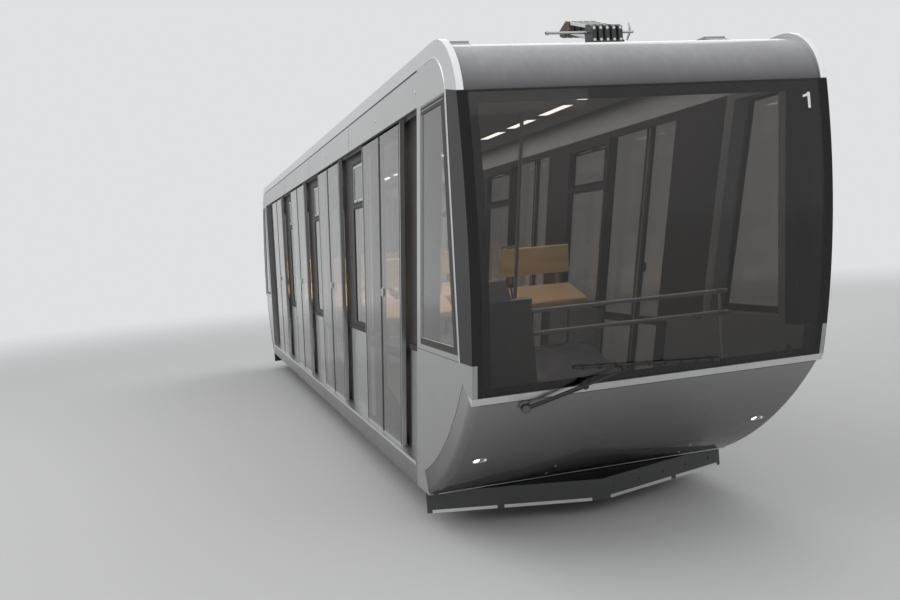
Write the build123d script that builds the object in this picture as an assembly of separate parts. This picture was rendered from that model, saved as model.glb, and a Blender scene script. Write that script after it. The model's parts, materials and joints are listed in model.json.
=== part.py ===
from build123d import *
import os
from math import atan, cos, hypot, pi, radians, sin, sqrt, tan

os.makedirs("parts", exist_ok=True)

# A funicular car, in millimetres. X runs along the track, +X uphill. Z is square to the rails.
# The flange tips stand on Z = 0. Posts and doors lean by the slope, because they are plumb
# on the track's gradient.

# Track and wheels
slope = 18.1
gauge = 1000.0
rail_head = 70.0
flange_height = 28.0
tread_radius = 220.0
rail_top = flange_height
lean = tan(radians(slope))
sin_slope = sin(radians(slope))
cos_slope = cos(radians(slope))

# Heights of the body
roof_top = rail_top + 3070
fascia_bottom = rail_top + 2775
arch_end_height = rail_top + 2735
belt_height = rail_top + 1258
sill_top = rail_top + 425
skirt_bottom = rail_top + 243

# Widths, as distances from the middle plane
side_plane = 1155.0
wall_outer = 1075.0
wall_thickness = 60.0
wall_inner = wall_outer - wall_thickness
sole_inner = 900.0

# The two ends: where the roof arch ends, and how the nose runs from there, seen on the gradient
overhang_uphill = 825.0
overhang_downhill = 582.0
glass_out = 361.0
glass_drop = 1637.0
glass_bulge = 70.0
strip_back = 11.0
strip_height = 48.0
skin_back_uphill = 484.0
skin_back_downhill = 300.0
skin_bulge = 87.0

# Shell
roof_edge_depth = 82.0
roof_edge_width = 42.0
roof_edge_end = 195.0
roof_inset = 35.0
header_end_inset = 8.0
roof_thickness = 40.0
glass_thickness = 12.0
skin_thickness = 8.0
skin_corner = 50.0
skin_inside_extra = 50.0
skin_return = 170.0
pillar_front = 60.0
pillar_depth = 40.0
flange_front = 32.0
strip_depth = 60.0

# How far cutters reach: past either end, and past the faces that they cut
far_x = 9000.0
over = 1.0

# How deep a tube or a cabinet is let into the floor
embed = 10.0

# Side layout, measured along the track at rail height
door_start = 3852.0
door_count = 4
door_pitch = 2430.0
door_width = 1310.0
post_width = 120.0
bay_width = door_pitch - door_width - post_width
last_bay_width = 540.0
jamb = 105.0
end_wall_uphill = 540.0
end_wall_downhill = 246.0
end_post = 60.0
corner_edge_uphill = door_start + end_wall_uphill
last_bay_low = door_start - (door_count - 1) * door_pitch - door_width - last_bay_width
corner_edge_downhill = last_bay_low - end_wall_downhill
doorway_top = fascia_bottom - 55

# Door leaves
leaf_plane = 1135.0
leaf_thickness = 36.0
leaf_glass = 8.0
leaf_frame = 38.0
leaf_gap = 5.0
leaf_entry = 35.0
sill_clearance = 0.35

# Floor
tread_depth = 333.0
tread_count = 3
floor_thickness = 45.0
stringer_least = 12.0
floor_low = sill_top + stringer_least + floor_thickness * (sin_slope + cos_slope)

# Running gear
bogie_back_uphill = 1670.0
bogie_back_downhill = 965.0
wheelbase = 1000.0
axle_radius = 60.0
running_fit = 0.1

arch_end_lean = (arch_end_height - rail_top) * lean
uphill_x = corner_edge_uphill + arch_end_lean + overhang_uphill
downhill_x = corner_edge_downhill + arch_end_lean - overhang_downhill

rise_per_pitch = door_pitch * sin_slope
platform_depth = door_pitch * cos_slope - tread_count * tread_depth
riser = rise_per_pitch / (tread_count + 1)


def save(node, solids):
    """Write one node's solids to its own file."""
    shapes = [s for part in solids for s in part.solids()]
    export_step(Compound(shapes), f"parts/{node}.step")


def largest(shape):
    return max(shape.solids(), key=lambda solid: solid.volume)


def both_sides(solid):
    return [solid, mirror(solid, about=Plane.XZ)]


def plate(points, y0, y1):
    """Extrude a side-view polygon of (x, z) points from y0 to y1."""
    wire = Wire.make_polygon([(x, y0, z) for x, z in points])
    return extrude(Face(wire), amount=y1 - y0, dir=(0, 1, 0))


def block(x0, x1, y0, y1, z0, z1):
    return Pos((x0 + x1) / 2, (y0 + y1) / 2, (z0 + z1) / 2) * Box(x1 - x0, y1 - y0, z1 - z0)


def rod(start, end, radius):
    """A round bar from start to end."""
    a, b = Vector(*start), Vector(*end)
    return extrude(Plane(a, z_dir=b - a) * Circle(radius), amount=(b - a).length)


def upright(u, z):
    """X of a plumb line that crosses rail height at u."""
    return u + (z - rail_top) * lean


def leaning(u0, u1, z0, z1):
    """A panel with plumb edges at u0 and u1, and edges along the track at z0 and z1."""
    return [(upright(u0, z0), z0), (upright(u1, z0), z0), (upright(u1, z1), z1), (upright(u0, z1), z1)]


class End:
    """One end of the body. side is +1 uphill and -1 downhill."""

    def __init__(self, side, x, skin_back):
        self.side = side
        self.x = x
        self.arch_end = self.at(0, 0)
        self.glass_foot = self.at(glass_out, -glass_drop)
        self.strip_foot = self.at(glass_out - strip_back, -glass_drop - strip_height)
        drop = arch_end_height - skirt_bottom + side * skin_back * sin_slope
        self.skin_foot = self.at(-skin_back, -drop / cos_slope)
        half_chord = hypot(glass_out, glass_drop) / 2
        glass_lean = atan(glass_out / glass_drop) + 2 * atan(glass_bulge / half_chord)
        self.arch_turn = pi / 2 + side * radians(slope) - glass_lean
        self.arch_radius = (roof_top - arch_end_height) / (1 - cos(self.arch_turn))
        self.roof_x = x - side * self.arch_radius * sin(self.arch_turn)

    def at(self, out, up):
        """Point at a level distance out from the arch's end and a plumb height above it."""
        return (self.x + self.side * out * cos_slope + up * sin_slope,
                arch_end_height - self.side * out * sin_slope + up * cos_slope)

    def arch_point(self, turn, inset=0.0):
        r = self.arch_radius - inset
        centre_z = roof_top - self.arch_radius
        return (self.roof_x + self.side * r * sin(turn), centre_z + r * cos(turn))


def bow(start, end, bulge, side, inset=0.0):
    """Start, middle and end of the arc whose middle stands bulge outside its chord, moved in by inset."""
    dx, dz = end[0] - start[0], end[1] - start[1]
    chord = hypot(dx, dz)
    nx, nz = -dz / chord * side, dx / chord * side
    if nx * side < 0:
        nx, nz = -nx, -nz
    radius = (chord * chord / 4 + bulge * bulge) / (2 * bulge)
    mx, mz = (start[0] + end[0]) / 2, (start[1] + end[1]) / 2
    cx, cz = mx - nx * (radius - bulge), mz - nz * (radius - bulge)
    k = (radius - inset) / radius
    points = [start, (mx + nx * bulge, mz + nz * bulge), end]
    return [(cx + (px - cx) * k, cz + (pz - cz) * k) for px, pz in points]


def face_of(edges):
    return Face(Wire(edges))


def line(p, q, y):
    return Line((p[0], y, p[1]), (q[0], y, q[1]))


def arc(points, y):
    return ThreePointArc(*[(x, y, z) for x, z in points])


def band(start, end, bulge, side, outer_inset, inner_inset, y0, y1):
    """A curved plate that follows the nose between two insets."""
    outer = bow(start, end, bulge, side, outer_inset)
    inner = bow(start, end, bulge, side, inner_inset)
    edges = [arc(outer, y0), line(outer[2], inner[2], y0), arc(inner, y0), line(inner[0], outer[0], y0)]
    return extrude(face_of(edges), amount=y1 - y0, dir=(0, 1, 0))


def arch_arc(end, inset):
    turns = [0.0, end.arch_turn / 2, end.arch_turn]
    return [end.arch_point(t, inset) for t in turns]


def inner_arch(end):
    """Inner arc of a roof edge, which ends roof_edge_end behind the outer one, at the fascia's foot."""
    radius = (roof_top - roof_edge_depth - fascia_bottom) / (1 - cos(end.arch_turn))
    x = end.x - end.side * (roof_edge_end + radius * sin(end.arch_turn))
    z = roof_top - roof_edge_depth - radius
    turns = [0.0, end.arch_turn / 2, end.arch_turn]
    return [(x + end.side * radius * sin(t), z + radius * cos(t)) for t in turns]


def silhouette(y0, y1):
    """The whole side outline of the body as a slab."""
    edges = []
    for end in (up, down):
        edges.append(arc(arch_arc(end, 0), y0))
        edges.append(arc(bow(end.arch_end, end.glass_foot, glass_bulge, end.side), y0))
        edges.append(line(end.glass_foot, end.strip_foot, y0))
        edges.append(arc(bow(end.strip_foot, end.skin_foot, skin_bulge, end.side), y0))
    edges.append(line((up.roof_x, roof_top), (down.roof_x, roof_top), y0))
    edges.append(line(up.skin_foot, down.skin_foot, y0))
    return extrude(face_of(edges), amount=y1 - y0, dir=(0, 1, 0))


up = End(1, uphill_x, skin_back_uphill)
down = End(-1, downhill_x, skin_back_downhill)
ends = (up, down)


def edge_at(end):
    return corner_edge_uphill if end.side > 0 else corner_edge_downhill


def door_at(k):
    return door_start - k * door_pitch


# Roof edges: bent strips that run along the roof and arch over both ends
def roof_edge():
    y0, y1 = side_plane - roof_edge_width, side_plane
    edges = []
    edges.append(line((up.roof_x, roof_top), (down.roof_x, roof_top), y0))
    edges.append(line(inner_arch(up)[0], inner_arch(down)[0], y0))
    for end in ends:
        inner = inner_arch(end)
        edges += [arc(arch_arc(end, 0), y0), arc(inner, y0), line(end.arch_end, inner[2], y0)]
    return extrude(face_of(edges), amount=y1 - y0, dir=(0, 1, 0))


roof_edge_left = roof_edge()
save("roof_edges", both_sides(roof_edge_left))

# Roof skin between the roof edges
roof_half = side_plane - roof_edge_width
skin_top = roof_top - roof_inset
roof_skin = block(down.roof_x, up.roof_x, -roof_half, roof_half, skin_top - roof_thickness, skin_top)
save("roof_skin", [roof_skin])


# Curved dark headers from the roof down to the windshields
def header(end):
    turns = [0.0, end.arch_turn / 2, end.arch_turn]
    insets = [roof_inset, (roof_inset + header_end_inset) / 2, header_end_inset]
    outer = [end.arch_point(t, i) for t, i in zip(turns, insets)]
    inner = [end.arch_point(t, i + roof_thickness) for t, i in zip(turns, insets)]
    edges = [arc(outer, -roof_half), line(outer[2], inner[2], -roof_half), arc(inner, -roof_half),
             line(inner[0], outer[0], -roof_half)]
    return extrude(face_of(edges), amount=2 * roof_half, dir=(0, 1, 0))


save("roof_headers", [header(end) for end in ends])

# Side slab between the wall's inner face and the side plane, cut into its panels
slab = silhouette(wall_inner, side_plane)
body_slab = slab - roof_edge_left

window_margin = 95.0
window_gap = 70.0
window_height = fascia_bottom - 45
window_foot = belt_height + 40


def corner_top(end):
    """Length of the corner panel's top edge, up to the seam."""
    reach = abs(end.arch_end[0] - upright(edge_at(end), fascia_bottom))
    return reach - roof_edge_end


def stripe_line(end, z):
    """X of the seam between the side window panel and the black corner, which follows the glass."""
    top = upright(edge_at(end), fascia_bottom) + end.side * corner_top(end)
    dz = fascia_bottom - z
    gx = (end.at(glass_out, -glass_drop)[0] - end.arch_end[0]) / (arch_end_height - end.glass_foot[1])
    return top + dz * gx


def far(end):
    return end.side * far_x


def zone(end, z0, z1, start, stop):
    """Side-view zone between two lines given as functions of height."""
    return [(start(z0), z0), (stop(z0), z0), (stop(z1), z1), (start(z1), z1)]


def corner_panel(end):
    """Lower side panel and the frame round the end side window."""
    start = lambda z: upright(edge_at(end), z)
    low = plate(zone(end, skirt_bottom - over, belt_height, start, lambda z: far(end)),
                wall_inner, side_plane)
    high = plate(zone(end, belt_height, fascia_bottom, start, lambda z: stripe_line(end, z)),
                 wall_inner, side_plane)
    hole = plate(window_points(end), wall_inner - over, side_plane + over)
    panel = (body_slab & low) + (body_slab & high) - hole
    panel -= block(-far_x, far_x, wall_inner - over, wall_outer, skirt_bottom - 2 * over, sill_top)
    return panel - nose_room(end)


def window_points(end):
    side = end.side
    near = lambda z: upright(edge_at(end), z) + side * window_margin
    rim = lambda z: stripe_line(end, z) - side * window_gap
    return zone(end, window_foot, window_height, near, rim)


def strip_points(end, depth):
    """Section of the bright strip between the glass and the end skin."""
    glass_back = bow(end.arch_end, end.glass_foot, glass_bulge, end.side, depth)[2]
    skin_back = bow(end.strip_foot, end.skin_foot, skin_bulge, end.side, depth)[0]
    return [end.glass_foot, end.strip_foot, skin_back, glass_back]


def nose_room(end):
    """Room for the pillar, the strip and the end skin, which wrap round the corner."""
    y0, y1 = wall_inner - over, side_plane + over
    skin = band(end.strip_foot, end.skin_foot, skin_bulge, end.side, -over, skin_return, y0, y1)
    glass = band(end.arch_end, end.glass_foot, glass_bulge, end.side, -over, pillar_depth, y0, y1)
    glass -= block(-far_x, far_x, side_plane - flange_front, y1 + over, 0, belt_height)
    return skin + glass + plate(strip_points(end, strip_depth), y0, y1)


corner_panels = [corner_panel(end) for end in ends]
save("corner_panels", [s for p in corner_panels for s in both_sides(p)])


# Black corner pillars beside the windshields
def corner_pillar(end):
    seam = lambda z: stripe_line(end, z)
    area = plate(zone(end, belt_height, fascia_bottom, seam, lambda z: far(end)),
                 side_plane - pillar_depth, side_plane)
    flank = (body_slab & area) - plate(strip_points(end, strip_depth), wall_inner, side_plane + over)
    post = band(end.arch_end, end.glass_foot, glass_bulge, end.side, 0, pillar_depth,
                side_plane - pillar_front, side_plane)
    return flank + post - block(-far_x, far_x, side_plane - flange_front, side_plane + over, 0, belt_height)


save("corner_pillars", [s for end in ends for s in both_sides(corner_pillar(end))])


# Bright strips under the glass
save("nose_strips", [plate(strip_points(end, strip_depth), -side_plane, side_plane) for end in ends])


# Windshields: one curved pane at each end
def windshield(end):
    half = side_plane - pillar_front
    return band(end.arch_end, end.glass_foot, glass_bulge, end.side, 0, glass_thickness, -half, half)


save("windshields", [windshield(end) for end in ends])


# End skins: curved shells below the glass, rounded at both corners
def end_skin(end):
    def shell(inset, half, corner, depth):
        body = band(end.strip_foot, end.skin_foot, skin_bulge, end.side, inset, depth, -half, half)
        rims = [e for e in body.edges() if e.geom_type == GeomType.CIRCLE]
        radius = max(e.radius for e in rims)
        rims = [e for e in rims if abs(e.radius - radius) < 0.01]
        return fillet(rims, corner)

    outer = shell(0, side_plane, skin_corner, skin_return)
    inner = shell(skin_thickness, side_plane - skin_thickness, skin_corner - skin_thickness,
                  skin_return + skin_inside_extra)
    return outer - inner


# Fascias: hollow covers over the door tops, from arch to arch
groove_clearance = 10.0
groove_inner = leaf_plane - leaf_thickness - groove_clearance
groove_outer = leaf_plane + groove_clearance
groove_depth = leaf_entry + leaf_gap


def fascia():
    arches = [inner_arch(end) for end in ends]
    edges = [arc(points, wall_inner) for points in arches]
    edges.append(line(arches[0][0], arches[1][0], wall_inner))
    edges.append(line(arches[0][2], arches[1][2], wall_inner))
    cover = extrude(face_of(edges), amount=side_plane - wall_inner, dir=(0, 1, 0))
    groove = plate(leaning(corner_edge_downhill, corner_edge_uphill, fascia_bottom - over,
                           fascia_bottom + groove_depth), groove_inner, groove_outer)
    return cover - groove


save("fascias", both_sides(fascia()))

# Cant rails: the beams over the doorways, between the corner panels
cant_rail = plate(leaning(corner_edge_downhill, corner_edge_uphill, doorway_top, fascia_bottom),
                  wall_inner, wall_outer)
save("cant_rails", both_sides(cant_rail))

# Dark posts: one on the uphill side of each doorway, which the open leaf slides over

def post(k):
    low = door_at(k) - jamb
    high = corner_edge_uphill if k == 0 else door_at(k - 1) - door_width - bay_width
    return plate(leaning(low, high, sill_top, doorway_top), wall_inner, wall_outer)


bay_sill = rail_top + 1230
end_panel_points = leaning(door_start + end_post, corner_edge_uphill, sill_top, bay_sill)
posts = [post(k) for k in range(door_count)]
posts[0] -= plate(end_panel_points, wall_inner - over, wall_outer + over)
posts.append(plate(leaning(corner_edge_downhill, last_bay_low, sill_top, doorway_top),
                   wall_inner, wall_outer))
save("door_posts", [s for p in posts for s in both_sides(p)])

# Bays: a window over a silver panel on the downhill side of each doorway
bay_frame = 40.0
bay_border = 290.0
bay_transom = rail_top + 2330
pane_set_back = 3.0


def bay_edges(k):
    width = bay_width if k < door_count - 1 else last_bay_width
    high = door_at(k) - door_width
    return high - width, high + jamb


def bay_window(k, z0, z1):
    low, high = bay_edges(k)
    border = bay_border if k < door_count - 1 else bay_frame
    return leaning(low + border, high - bay_frame, z0, z1)


def pane(points, plane):
    return plate(points, plane - pane_set_back - glass_thickness, plane - pane_set_back)


bay_panels = [plate(end_panel_points, wall_inner, wall_outer)]
bay_frames = []
bay_panes = []
for k in range(door_count):
    low, high = bay_edges(k)
    bay_panels.append(plate(leaning(low, high, sill_top, bay_sill), wall_inner, wall_outer))
    frame = plate(leaning(low, high, bay_sill, doorway_top), wall_inner, wall_outer)
    for z0, z1 in ((bay_sill + bay_frame, bay_transom - bay_frame / 2),
                   (bay_transom + bay_frame / 2, doorway_top - bay_frame)):
        frame -= plate(bay_window(k, z0, z1), wall_inner - over, wall_outer + over)
        bay_panes.append(pane(bay_window(k, z0, z1), wall_outer))
    bay_frames.append(frame)
save("bay_panels", [s for p in bay_panels for s in both_sides(p)])
save("bay_frames", [s for p in bay_frames for s in both_sides(p)])

end_panes = [pane(window_points(end), side_plane) for end in ends]
save("side_windows", [s for p in bay_panes + end_panes for s in both_sides(p)])

# Sill strips, which guide the leaves, and the skirts under them
sill_thickness = 25.0
sill_proud = 10.0
skirt_thickness = 30.0
sill_strip = plate(leaning(corner_edge_downhill, corner_edge_uphill, sill_top - sill_thickness, sill_top),
                   wall_outer, side_plane + sill_proud)
save("sill_strips", both_sides(sill_strip))
skirt = plate(leaning(corner_edge_downhill, corner_edge_uphill, skirt_bottom, sill_top - sill_thickness),
              side_plane - skirt_thickness, side_plane)
save("skirts", both_sides(skirt))

# Stepped floor: a level platform at each door, with steps down to the next one
end_platform_uphill = 700.0
end_platform_downhill = 900.0
floor_end_gap = 90.0
nose_reach = 500.0


def level(point, run):
    """Move a point level, downhill, by run."""
    return (point[0] - run * cos_slope, point[1] + run * sin_slope)


def plumb(point, drop):
    return (point[0] - drop * sin_slope, point[1] - drop * cos_slope)


def floor_line():
    """Top of the floor from the uphill end down to the downhill end."""
    start = (upright(door_start, floor_low), floor_low)
    points = [start]
    for _ in range(tread_count + 1):
        points.insert(0, plumb(points[0], -riser))
        points.insert(0, level(points[0], -tread_depth))
    points[0] = level(points[1], -end_platform_uphill)
    for k in range(door_count):
        points.append(level(points[-1], platform_depth))
        steps = tread_count if k < door_count - 1 else 1
        for _ in range(steps):
            points.append(plumb(points[-1], riser))
            points.append(level(points[-1], tread_depth))
        if k < door_count - 1:
            points.append(plumb(points[-1], riser))
    points.append(plumb(points[-1], riser))
    points.append(level(points[-1], end_platform_downhill))
    return points


floor_top = floor_line()
floor_under = [plumb(level(p, -floor_thickness), floor_thickness) for p in floor_top]
floor_sheet = plate(floor_top + floor_under[::-1], -wall_inner, wall_inner)
stringer_ends = [(floor_under[-1][0], sill_top), (floor_under[0][0], sill_top)]
stringer = plate(floor_under + stringer_ends, sole_inner, wall_inner)
floor_solid = floor_sheet
for end in ends:
    nose = band(end.strip_foot, end.skin_foot, skin_bulge, end.side, -nose_reach, floor_end_gap,
                -side_plane, side_plane)
    floor_solid -= nose
    stringer -= nose
floor_solid = largest(floor_solid)
stringer = largest(stringer)


# Underframe: two sole bars under the walls, cross members, bolsters over the bogies and end beams
sole_depth = 140.0
cross_half = 50.0
bolster_half = 150.0
bolster_height = 110.0
pin_radius = 50.0
bolster_top = sill_top + bolster_height
sole_past_uphill = 250.0
sole_past_downhill = 150.0
bogie_x = [upright(corner_edge_uphill, sill_top) - bogie_back_uphill,
           upright(corner_edge_downhill, sill_top) + bogie_back_downhill]
sole_ends = (upright(corner_edge_downhill, sill_top) - sole_past_downhill,
             upright(corner_edge_uphill, sill_top) + sole_past_uphill)
cross_count = 4
cross_from_bogie = 1845.0
cross_step = (bogie_x[0] - bogie_x[1] - 2 * cross_from_bogie) / (cross_count - 1)
cross_x = [bogie_x[1] + cross_from_bogie + i * cross_step for i in range(cross_count)]
sole_bar = block(sole_ends[0], sole_ends[1], sole_inner, wall_outer, sill_top - sole_depth, sill_top)
underframe = sole_bar + mirror(sole_bar, about=Plane.XZ)
outrigger = side_plane - skirt_thickness
for x in cross_x:
    underframe += block(x - cross_half, x + cross_half, -outrigger, outrigger,
                        sill_top - sole_depth, sill_top - sill_thickness)
beam_x = {1: sole_ends[1] - 2 * cross_half, -1: sole_ends[0] + 2 * cross_half}
for side, x in beam_x.items():
    x0, x1 = sorted((x, x + side * 2 * cross_half))
    underframe += block(x0, x1, -sole_inner, sole_inner, sill_top - sole_depth, sill_top)
for x in bogie_x:
    bolster = block(x - bolster_half, x + bolster_half, -wall_inner, wall_inner, sill_top, bolster_top)
    underframe += bolster
    floor_solid -= bolster
    stringer -= bolster
    underframe -= Pos(x, 0, sill_top) * Cylinder(pin_radius + running_fit, 4 * bolster_height)
save("underframe", [underframe])
save("floor", [floor_solid])
save("stringers", both_sides(stringer))

# Bogies: side frames outside the wheels, a crossbeam with the centre pin, and axle boxes
wheel_line = gauge / 2 + rail_head / 2
frame_inner = 665.0
frame_outer = 735.0
axle_z = flange_height + tread_radius
box_radius = 105.0
cross_beam_half = 130.0
cross_beam_gap = 20.0
cross_beam_depth = 130.0
cross_beam_top = sill_top - cross_beam_gap
pin_gap = 10.0
seat_gap = 0.3
box_proud = 15.0
web_end = (-60.0, 90.0)
web_waist = (200.0, -10.0)
web_head_half = 260.0


def bogie_frame(x):
    wheels = (x - wheelbase / 2, x + wheelbase / 2)
    foot, head = axle_z + web_end[0], axle_z + web_end[1]
    waist = axle_z + web_waist[1]
    web = [(wheels[0], foot), (x - web_waist[0], waist), (x + web_waist[0], waist), (wheels[1], foot),
           (wheels[1], head), (x + web_head_half, cross_beam_top), (x - web_head_half, cross_beam_top),
           (wheels[0], head)]
    cheek = plate(web, frame_inner, frame_outer)
    for wx in wheels:
        across = Pos(wx, (frame_inner + frame_outer) / 2, axle_z) * Rot(90, 0, 0)
        width = frame_outer - frame_inner + 2 * box_proud
        cheek += across * Cylinder(box_radius, width)
        cheek -= across * Cylinder(axle_radius + running_fit, 2 * width)
    frame = cheek + mirror(cheek, about=Plane.XZ)
    frame += block(x - cross_beam_half, x + cross_beam_half, -frame_inner - over, frame_inner + over,
                   cross_beam_top - cross_beam_depth, cross_beam_top)
    plate_top = sill_top - seat_gap
    frame += Pos(x, 0, (cross_beam_top + plate_top) / 2) * Cylinder(3 * pin_radius,
                                                                   plate_top - cross_beam_top)
    pin_top = bolster_top - pin_gap
    frame += Pos(x, 0, (cross_beam_top + pin_top) / 2) * Cylinder(pin_radius, pin_top - cross_beam_top)
    return frame


flange_width = 26.0
tread_clearance = 3.0
roller_width = 150.0
rim_depth = 45.0
web_half = 28.0
flange_slope = 9.0
axle_proud = 10.0
wheel_seat = 5.0


def turned(profile):
    """Revolve (radius, y) points round the axle's line."""
    wire = Wire.make_polygon([(r, y, 0) for r, y in profile])
    return revolve(Face(wire), Axis((0, 0, 0), (0, 1, 0)), 360)


def mirrored(half):
    """A wheel's whole profile from its half on the +Y side, as (radius, y) points."""
    return half + [(r, -y) for r, y in half[::-1]]


def wheelset(x):
    """An axle with a double-flanged wheel on the left and a wide plain roller on the right."""
    bore = axle_radius - wheel_seat
    rim = tread_radius - rim_depth
    flange_radius = tread_radius + flange_height
    tread = rail_head / 2 + tread_clearance
    outer = tread + flange_width
    flanged = mirrored([(tread_radius, tread), (flange_radius, tread + flange_slope), (flange_radius, outer),
                        (rim, outer), (rim, web_half), (bore, web_half)])
    roller = mirrored([(tread_radius, roller_width / 2), (rim, roller_width / 2), (rim, web_half),
                       (bore, web_half)])
    axle = Rot(90, 0, 0) * Cylinder(axle_radius, 2 * (frame_outer + axle_proud))
    body = axle + Pos(0, wheel_line, 0) * turned(flanged) + Pos(0, -wheel_line, 0) * turned(roller)
    return Pos(x, 0, axle_z) * body


for name, x in zip(("uphill", "downhill"), bogie_x):
    save(f"bogie_{name}", [bogie_frame(x)])
    save(f"wheelset_{name}_upper", [wheelset(x + wheelbase / 2)])
    save(f"wheelset_{name}_lower", [wheelset(x - wheelbase / 2)])


# Door leaves: a full-height glass sheet bonded to a frame behind it
belt_rail = rail_top + 1150
belt_rail_half = 35.0


def leaf(k, side, upper):
    """One leaf. upper is the leaf on the uphill side of the doorway."""
    centre = door_at(k) - door_width / 2
    u0, u1 = centre + leaf_gap / 2, door_at(k)
    if not upper:
        u0, u1 = door_at(k) - door_width, centre - leaf_gap / 2
    z0, z1 = sill_top + sill_clearance, fascia_bottom + leaf_entry
    sheet = plate(leaning(u0, u1, z0, z1), leaf_plane - leaf_thickness, leaf_plane)
    inner, glass = leaf_plane - leaf_thickness - over, leaf_plane - leaf_glass
    for low, high in ((z0 + leaf_frame, belt_rail - belt_rail_half),
                      (belt_rail + belt_rail_half, z1 - leaf_frame)):
        sheet -= plate(leaning(u0 + leaf_frame, u1 - leaf_frame, low, high), inner, glass)
    return sheet if side > 0 else mirror(sheet, about=Plane.XZ)


for k in range(door_count):
    for side, side_name in ((1, "left"), (-1, "right")):
        save(f"door_{side_name}_{k + 1}_upper", [leaf(k, side, True)])
        save(f"door_{side_name}_{k + 1}_lower", [leaf(k, side, False)])

# Benches: plywood seats and backs on bent frames, on both sides of the aisle, facing uphill
aisle_half = 280.0
seat_height = 450.0
seat_depth = 430.0
board_thickness = 28.0
seat_lip = 60.0
back_gap = 110.0
back_board = 260.0
back_rake = 12.0
bench_clearance = 25.0
frame_bar = 30.0
frame_from_side = 110.0
leg_set_back = 150.0


def platform_edge(k):
    """Downhill edge of the platform at door k."""
    return level((upright(door_at(k), floor_low), floor_low), platform_depth)


def bench(k):
    """A seat board with a lip, a raked back board over a gap, and two frames of flat bar."""
    edge = platform_edge(k)
    rake = tan(radians(back_rake))
    y0, y1 = aisle_half, wall_inner - bench_clearance

    def spot(run, rise):
        return plumb(level(edge, run), -rise)

    def board(corners, low, high):
        return plate([spot(run, rise) for run, rise in corners], low, high)

    under = seat_height - board_thickness
    seat = board([(0, seat_height), (seat_depth, seat_height), (seat_depth, under), (board_thickness, under),
                  (board_thickness, seat_height - seat_lip), (0, seat_height - seat_lip)], y0, y1)
    low, high = seat_height + back_gap, seat_height + back_gap + back_board

    def behind(rise):
        return seat_depth + (rise - seat_height) * rake

    back = board([(behind(low) - board_thickness, low), (behind(low), low), (behind(high), high),
                  (behind(high) - board_thickness, high)], y0, y1)
    foot = -riser - floor_thickness / 2
    bar_foot, top = under - frame_bar, high - frame_bar
    body = seat + back
    for y in (y0 + frame_from_side, y1 - frame_from_side):
        body += board([(leg_set_back, under), (leg_set_back, foot), (leg_set_back + frame_bar, foot),
                       (leg_set_back + frame_bar, bar_foot), (behind(bar_foot) + frame_bar, bar_foot),
                       (behind(top) + frame_bar, top), (behind(top), top), (behind(under), under)],
                      y - frame_bar / 2, y + frame_bar / 2)
    return body


benches = []
for k in range(door_count):
    benches += both_sides(bench(k) - floor_solid)
save("benches", benches)

# Handrails: plumb poles beside the aisle, and two level bars across each end
pole_radius = 17.0
pole_from_step = 60.0
pole_from_seat = 40.0
rail_bar_radius = 14.0
rail_post_radius = 11.0
bar_heights = (rail_top + 1340, rail_top + 1480)
bar_half = 815.0
rail_post_inset = 60.0
bar_set_back_uphill = 491.6
bar_set_back_downhill = 696.4
bar_x = {1: up.glass_foot[0] - bar_set_back_uphill, -1: down.glass_foot[0] + bar_set_back_downhill}
desk_gap = 40.0
desk_skin_gap = 60.0


def pole(x, z, y):
    """A plumb pole from the floor to the roof skin."""
    foot, head = plumb((x, z), embed), plumb((x, z), -(skin_top - roof_thickness / 2 - z) / cos_slope)
    bar = rod((foot[0], y, foot[1]), (head[0], y, head[1]), pole_radius)
    return bar - floor_solid - roof_skin


def floor_height(x):
    """Height of the floor's top at x."""
    for (x0, z0), (x1, z1) in zip(floor_top, floor_top[1:]):
        if min(x0, x1) <= x <= max(x0, x1) and abs(x1 - x0) > abs(z1 - z0):
            return z0 + (z1 - z0) * (x - x0) / (x1 - x0)
    return floor_low


handrails = []
for k in range(door_count):
    edge = level(platform_edge(k), -pole_from_step)
    handrails += both_sides(pole(edge[0], edge[1], aisle_half - pole_from_seat))
save("handrails", handrails)
end_rails = []
for end in ends:
    x = bar_x[end.side]
    rail = rod((x, -bar_half, bar_heights[0]), (x, bar_half, bar_heights[0]), rail_bar_radius)
    rail += rod((x, -bar_half, bar_heights[1]), (x, bar_half, bar_heights[1]), rail_bar_radius)
    for y in (-bar_half + rail_post_inset, bar_half - rail_post_inset):
        rail += rod((x, y, floor_height(x) - embed), (x, y, bar_heights[1]), rail_post_radius)
    end_rails.append(rail - floor_solid)
save("end_rails", end_rails)

# Desks: one cabinet behind each windshield, on the left as seen from outside
desk_depth = 200.0
desk_width = 330.0
desk_from_wall = 20.0
desk_top = rail_top + 1560
desks = []
for end in ends:
    near, outer = bar_x[end.side] + end.side * desk_gap, -end.side * (wall_inner - desk_from_wall)
    x0, x1 = sorted((near, near + end.side * desk_depth))
    y0, y1 = sorted((outer, outer + end.side * desk_width))
    foot = min(floor_height(x0), floor_height(x1)) - embed
    cabinet = block(x0, x1, y0, y1, foot, desk_top) - floor_solid - stringer
    cabinet -= mirror(stringer, about=Plane.XZ)
    cabinet -= band(end.strip_foot, end.skin_foot, skin_bulge, end.side, -nose_reach, desk_skin_gap,
                    -side_plane, side_plane)
    desks.append(largest(cabinet))
save("desks", desks)


# Points on the nose: the surface point at a height, and its outward normal
def nose_point(top, foot, bulge, end, z):
    chord = hypot(foot[0] - top[0], foot[1] - top[1])
    radius = (chord * chord / 4 + bulge * bulge) / (2 * bulge)
    cx, cz = bow(top, foot, bulge, end.side, radius)[0]
    dz = z - cz
    dx = sqrt(radius * radius - dz * dz) * end.side
    return (cx + dx, z), (dx / radius, dz / radius)


def glass_point(end, z):
    return nose_point(end.arch_end, end.glass_foot, glass_bulge, end, z)


def skin_point(end, z):
    return nose_point(end.strip_foot, end.skin_foot, skin_bulge, end, z)


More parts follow.
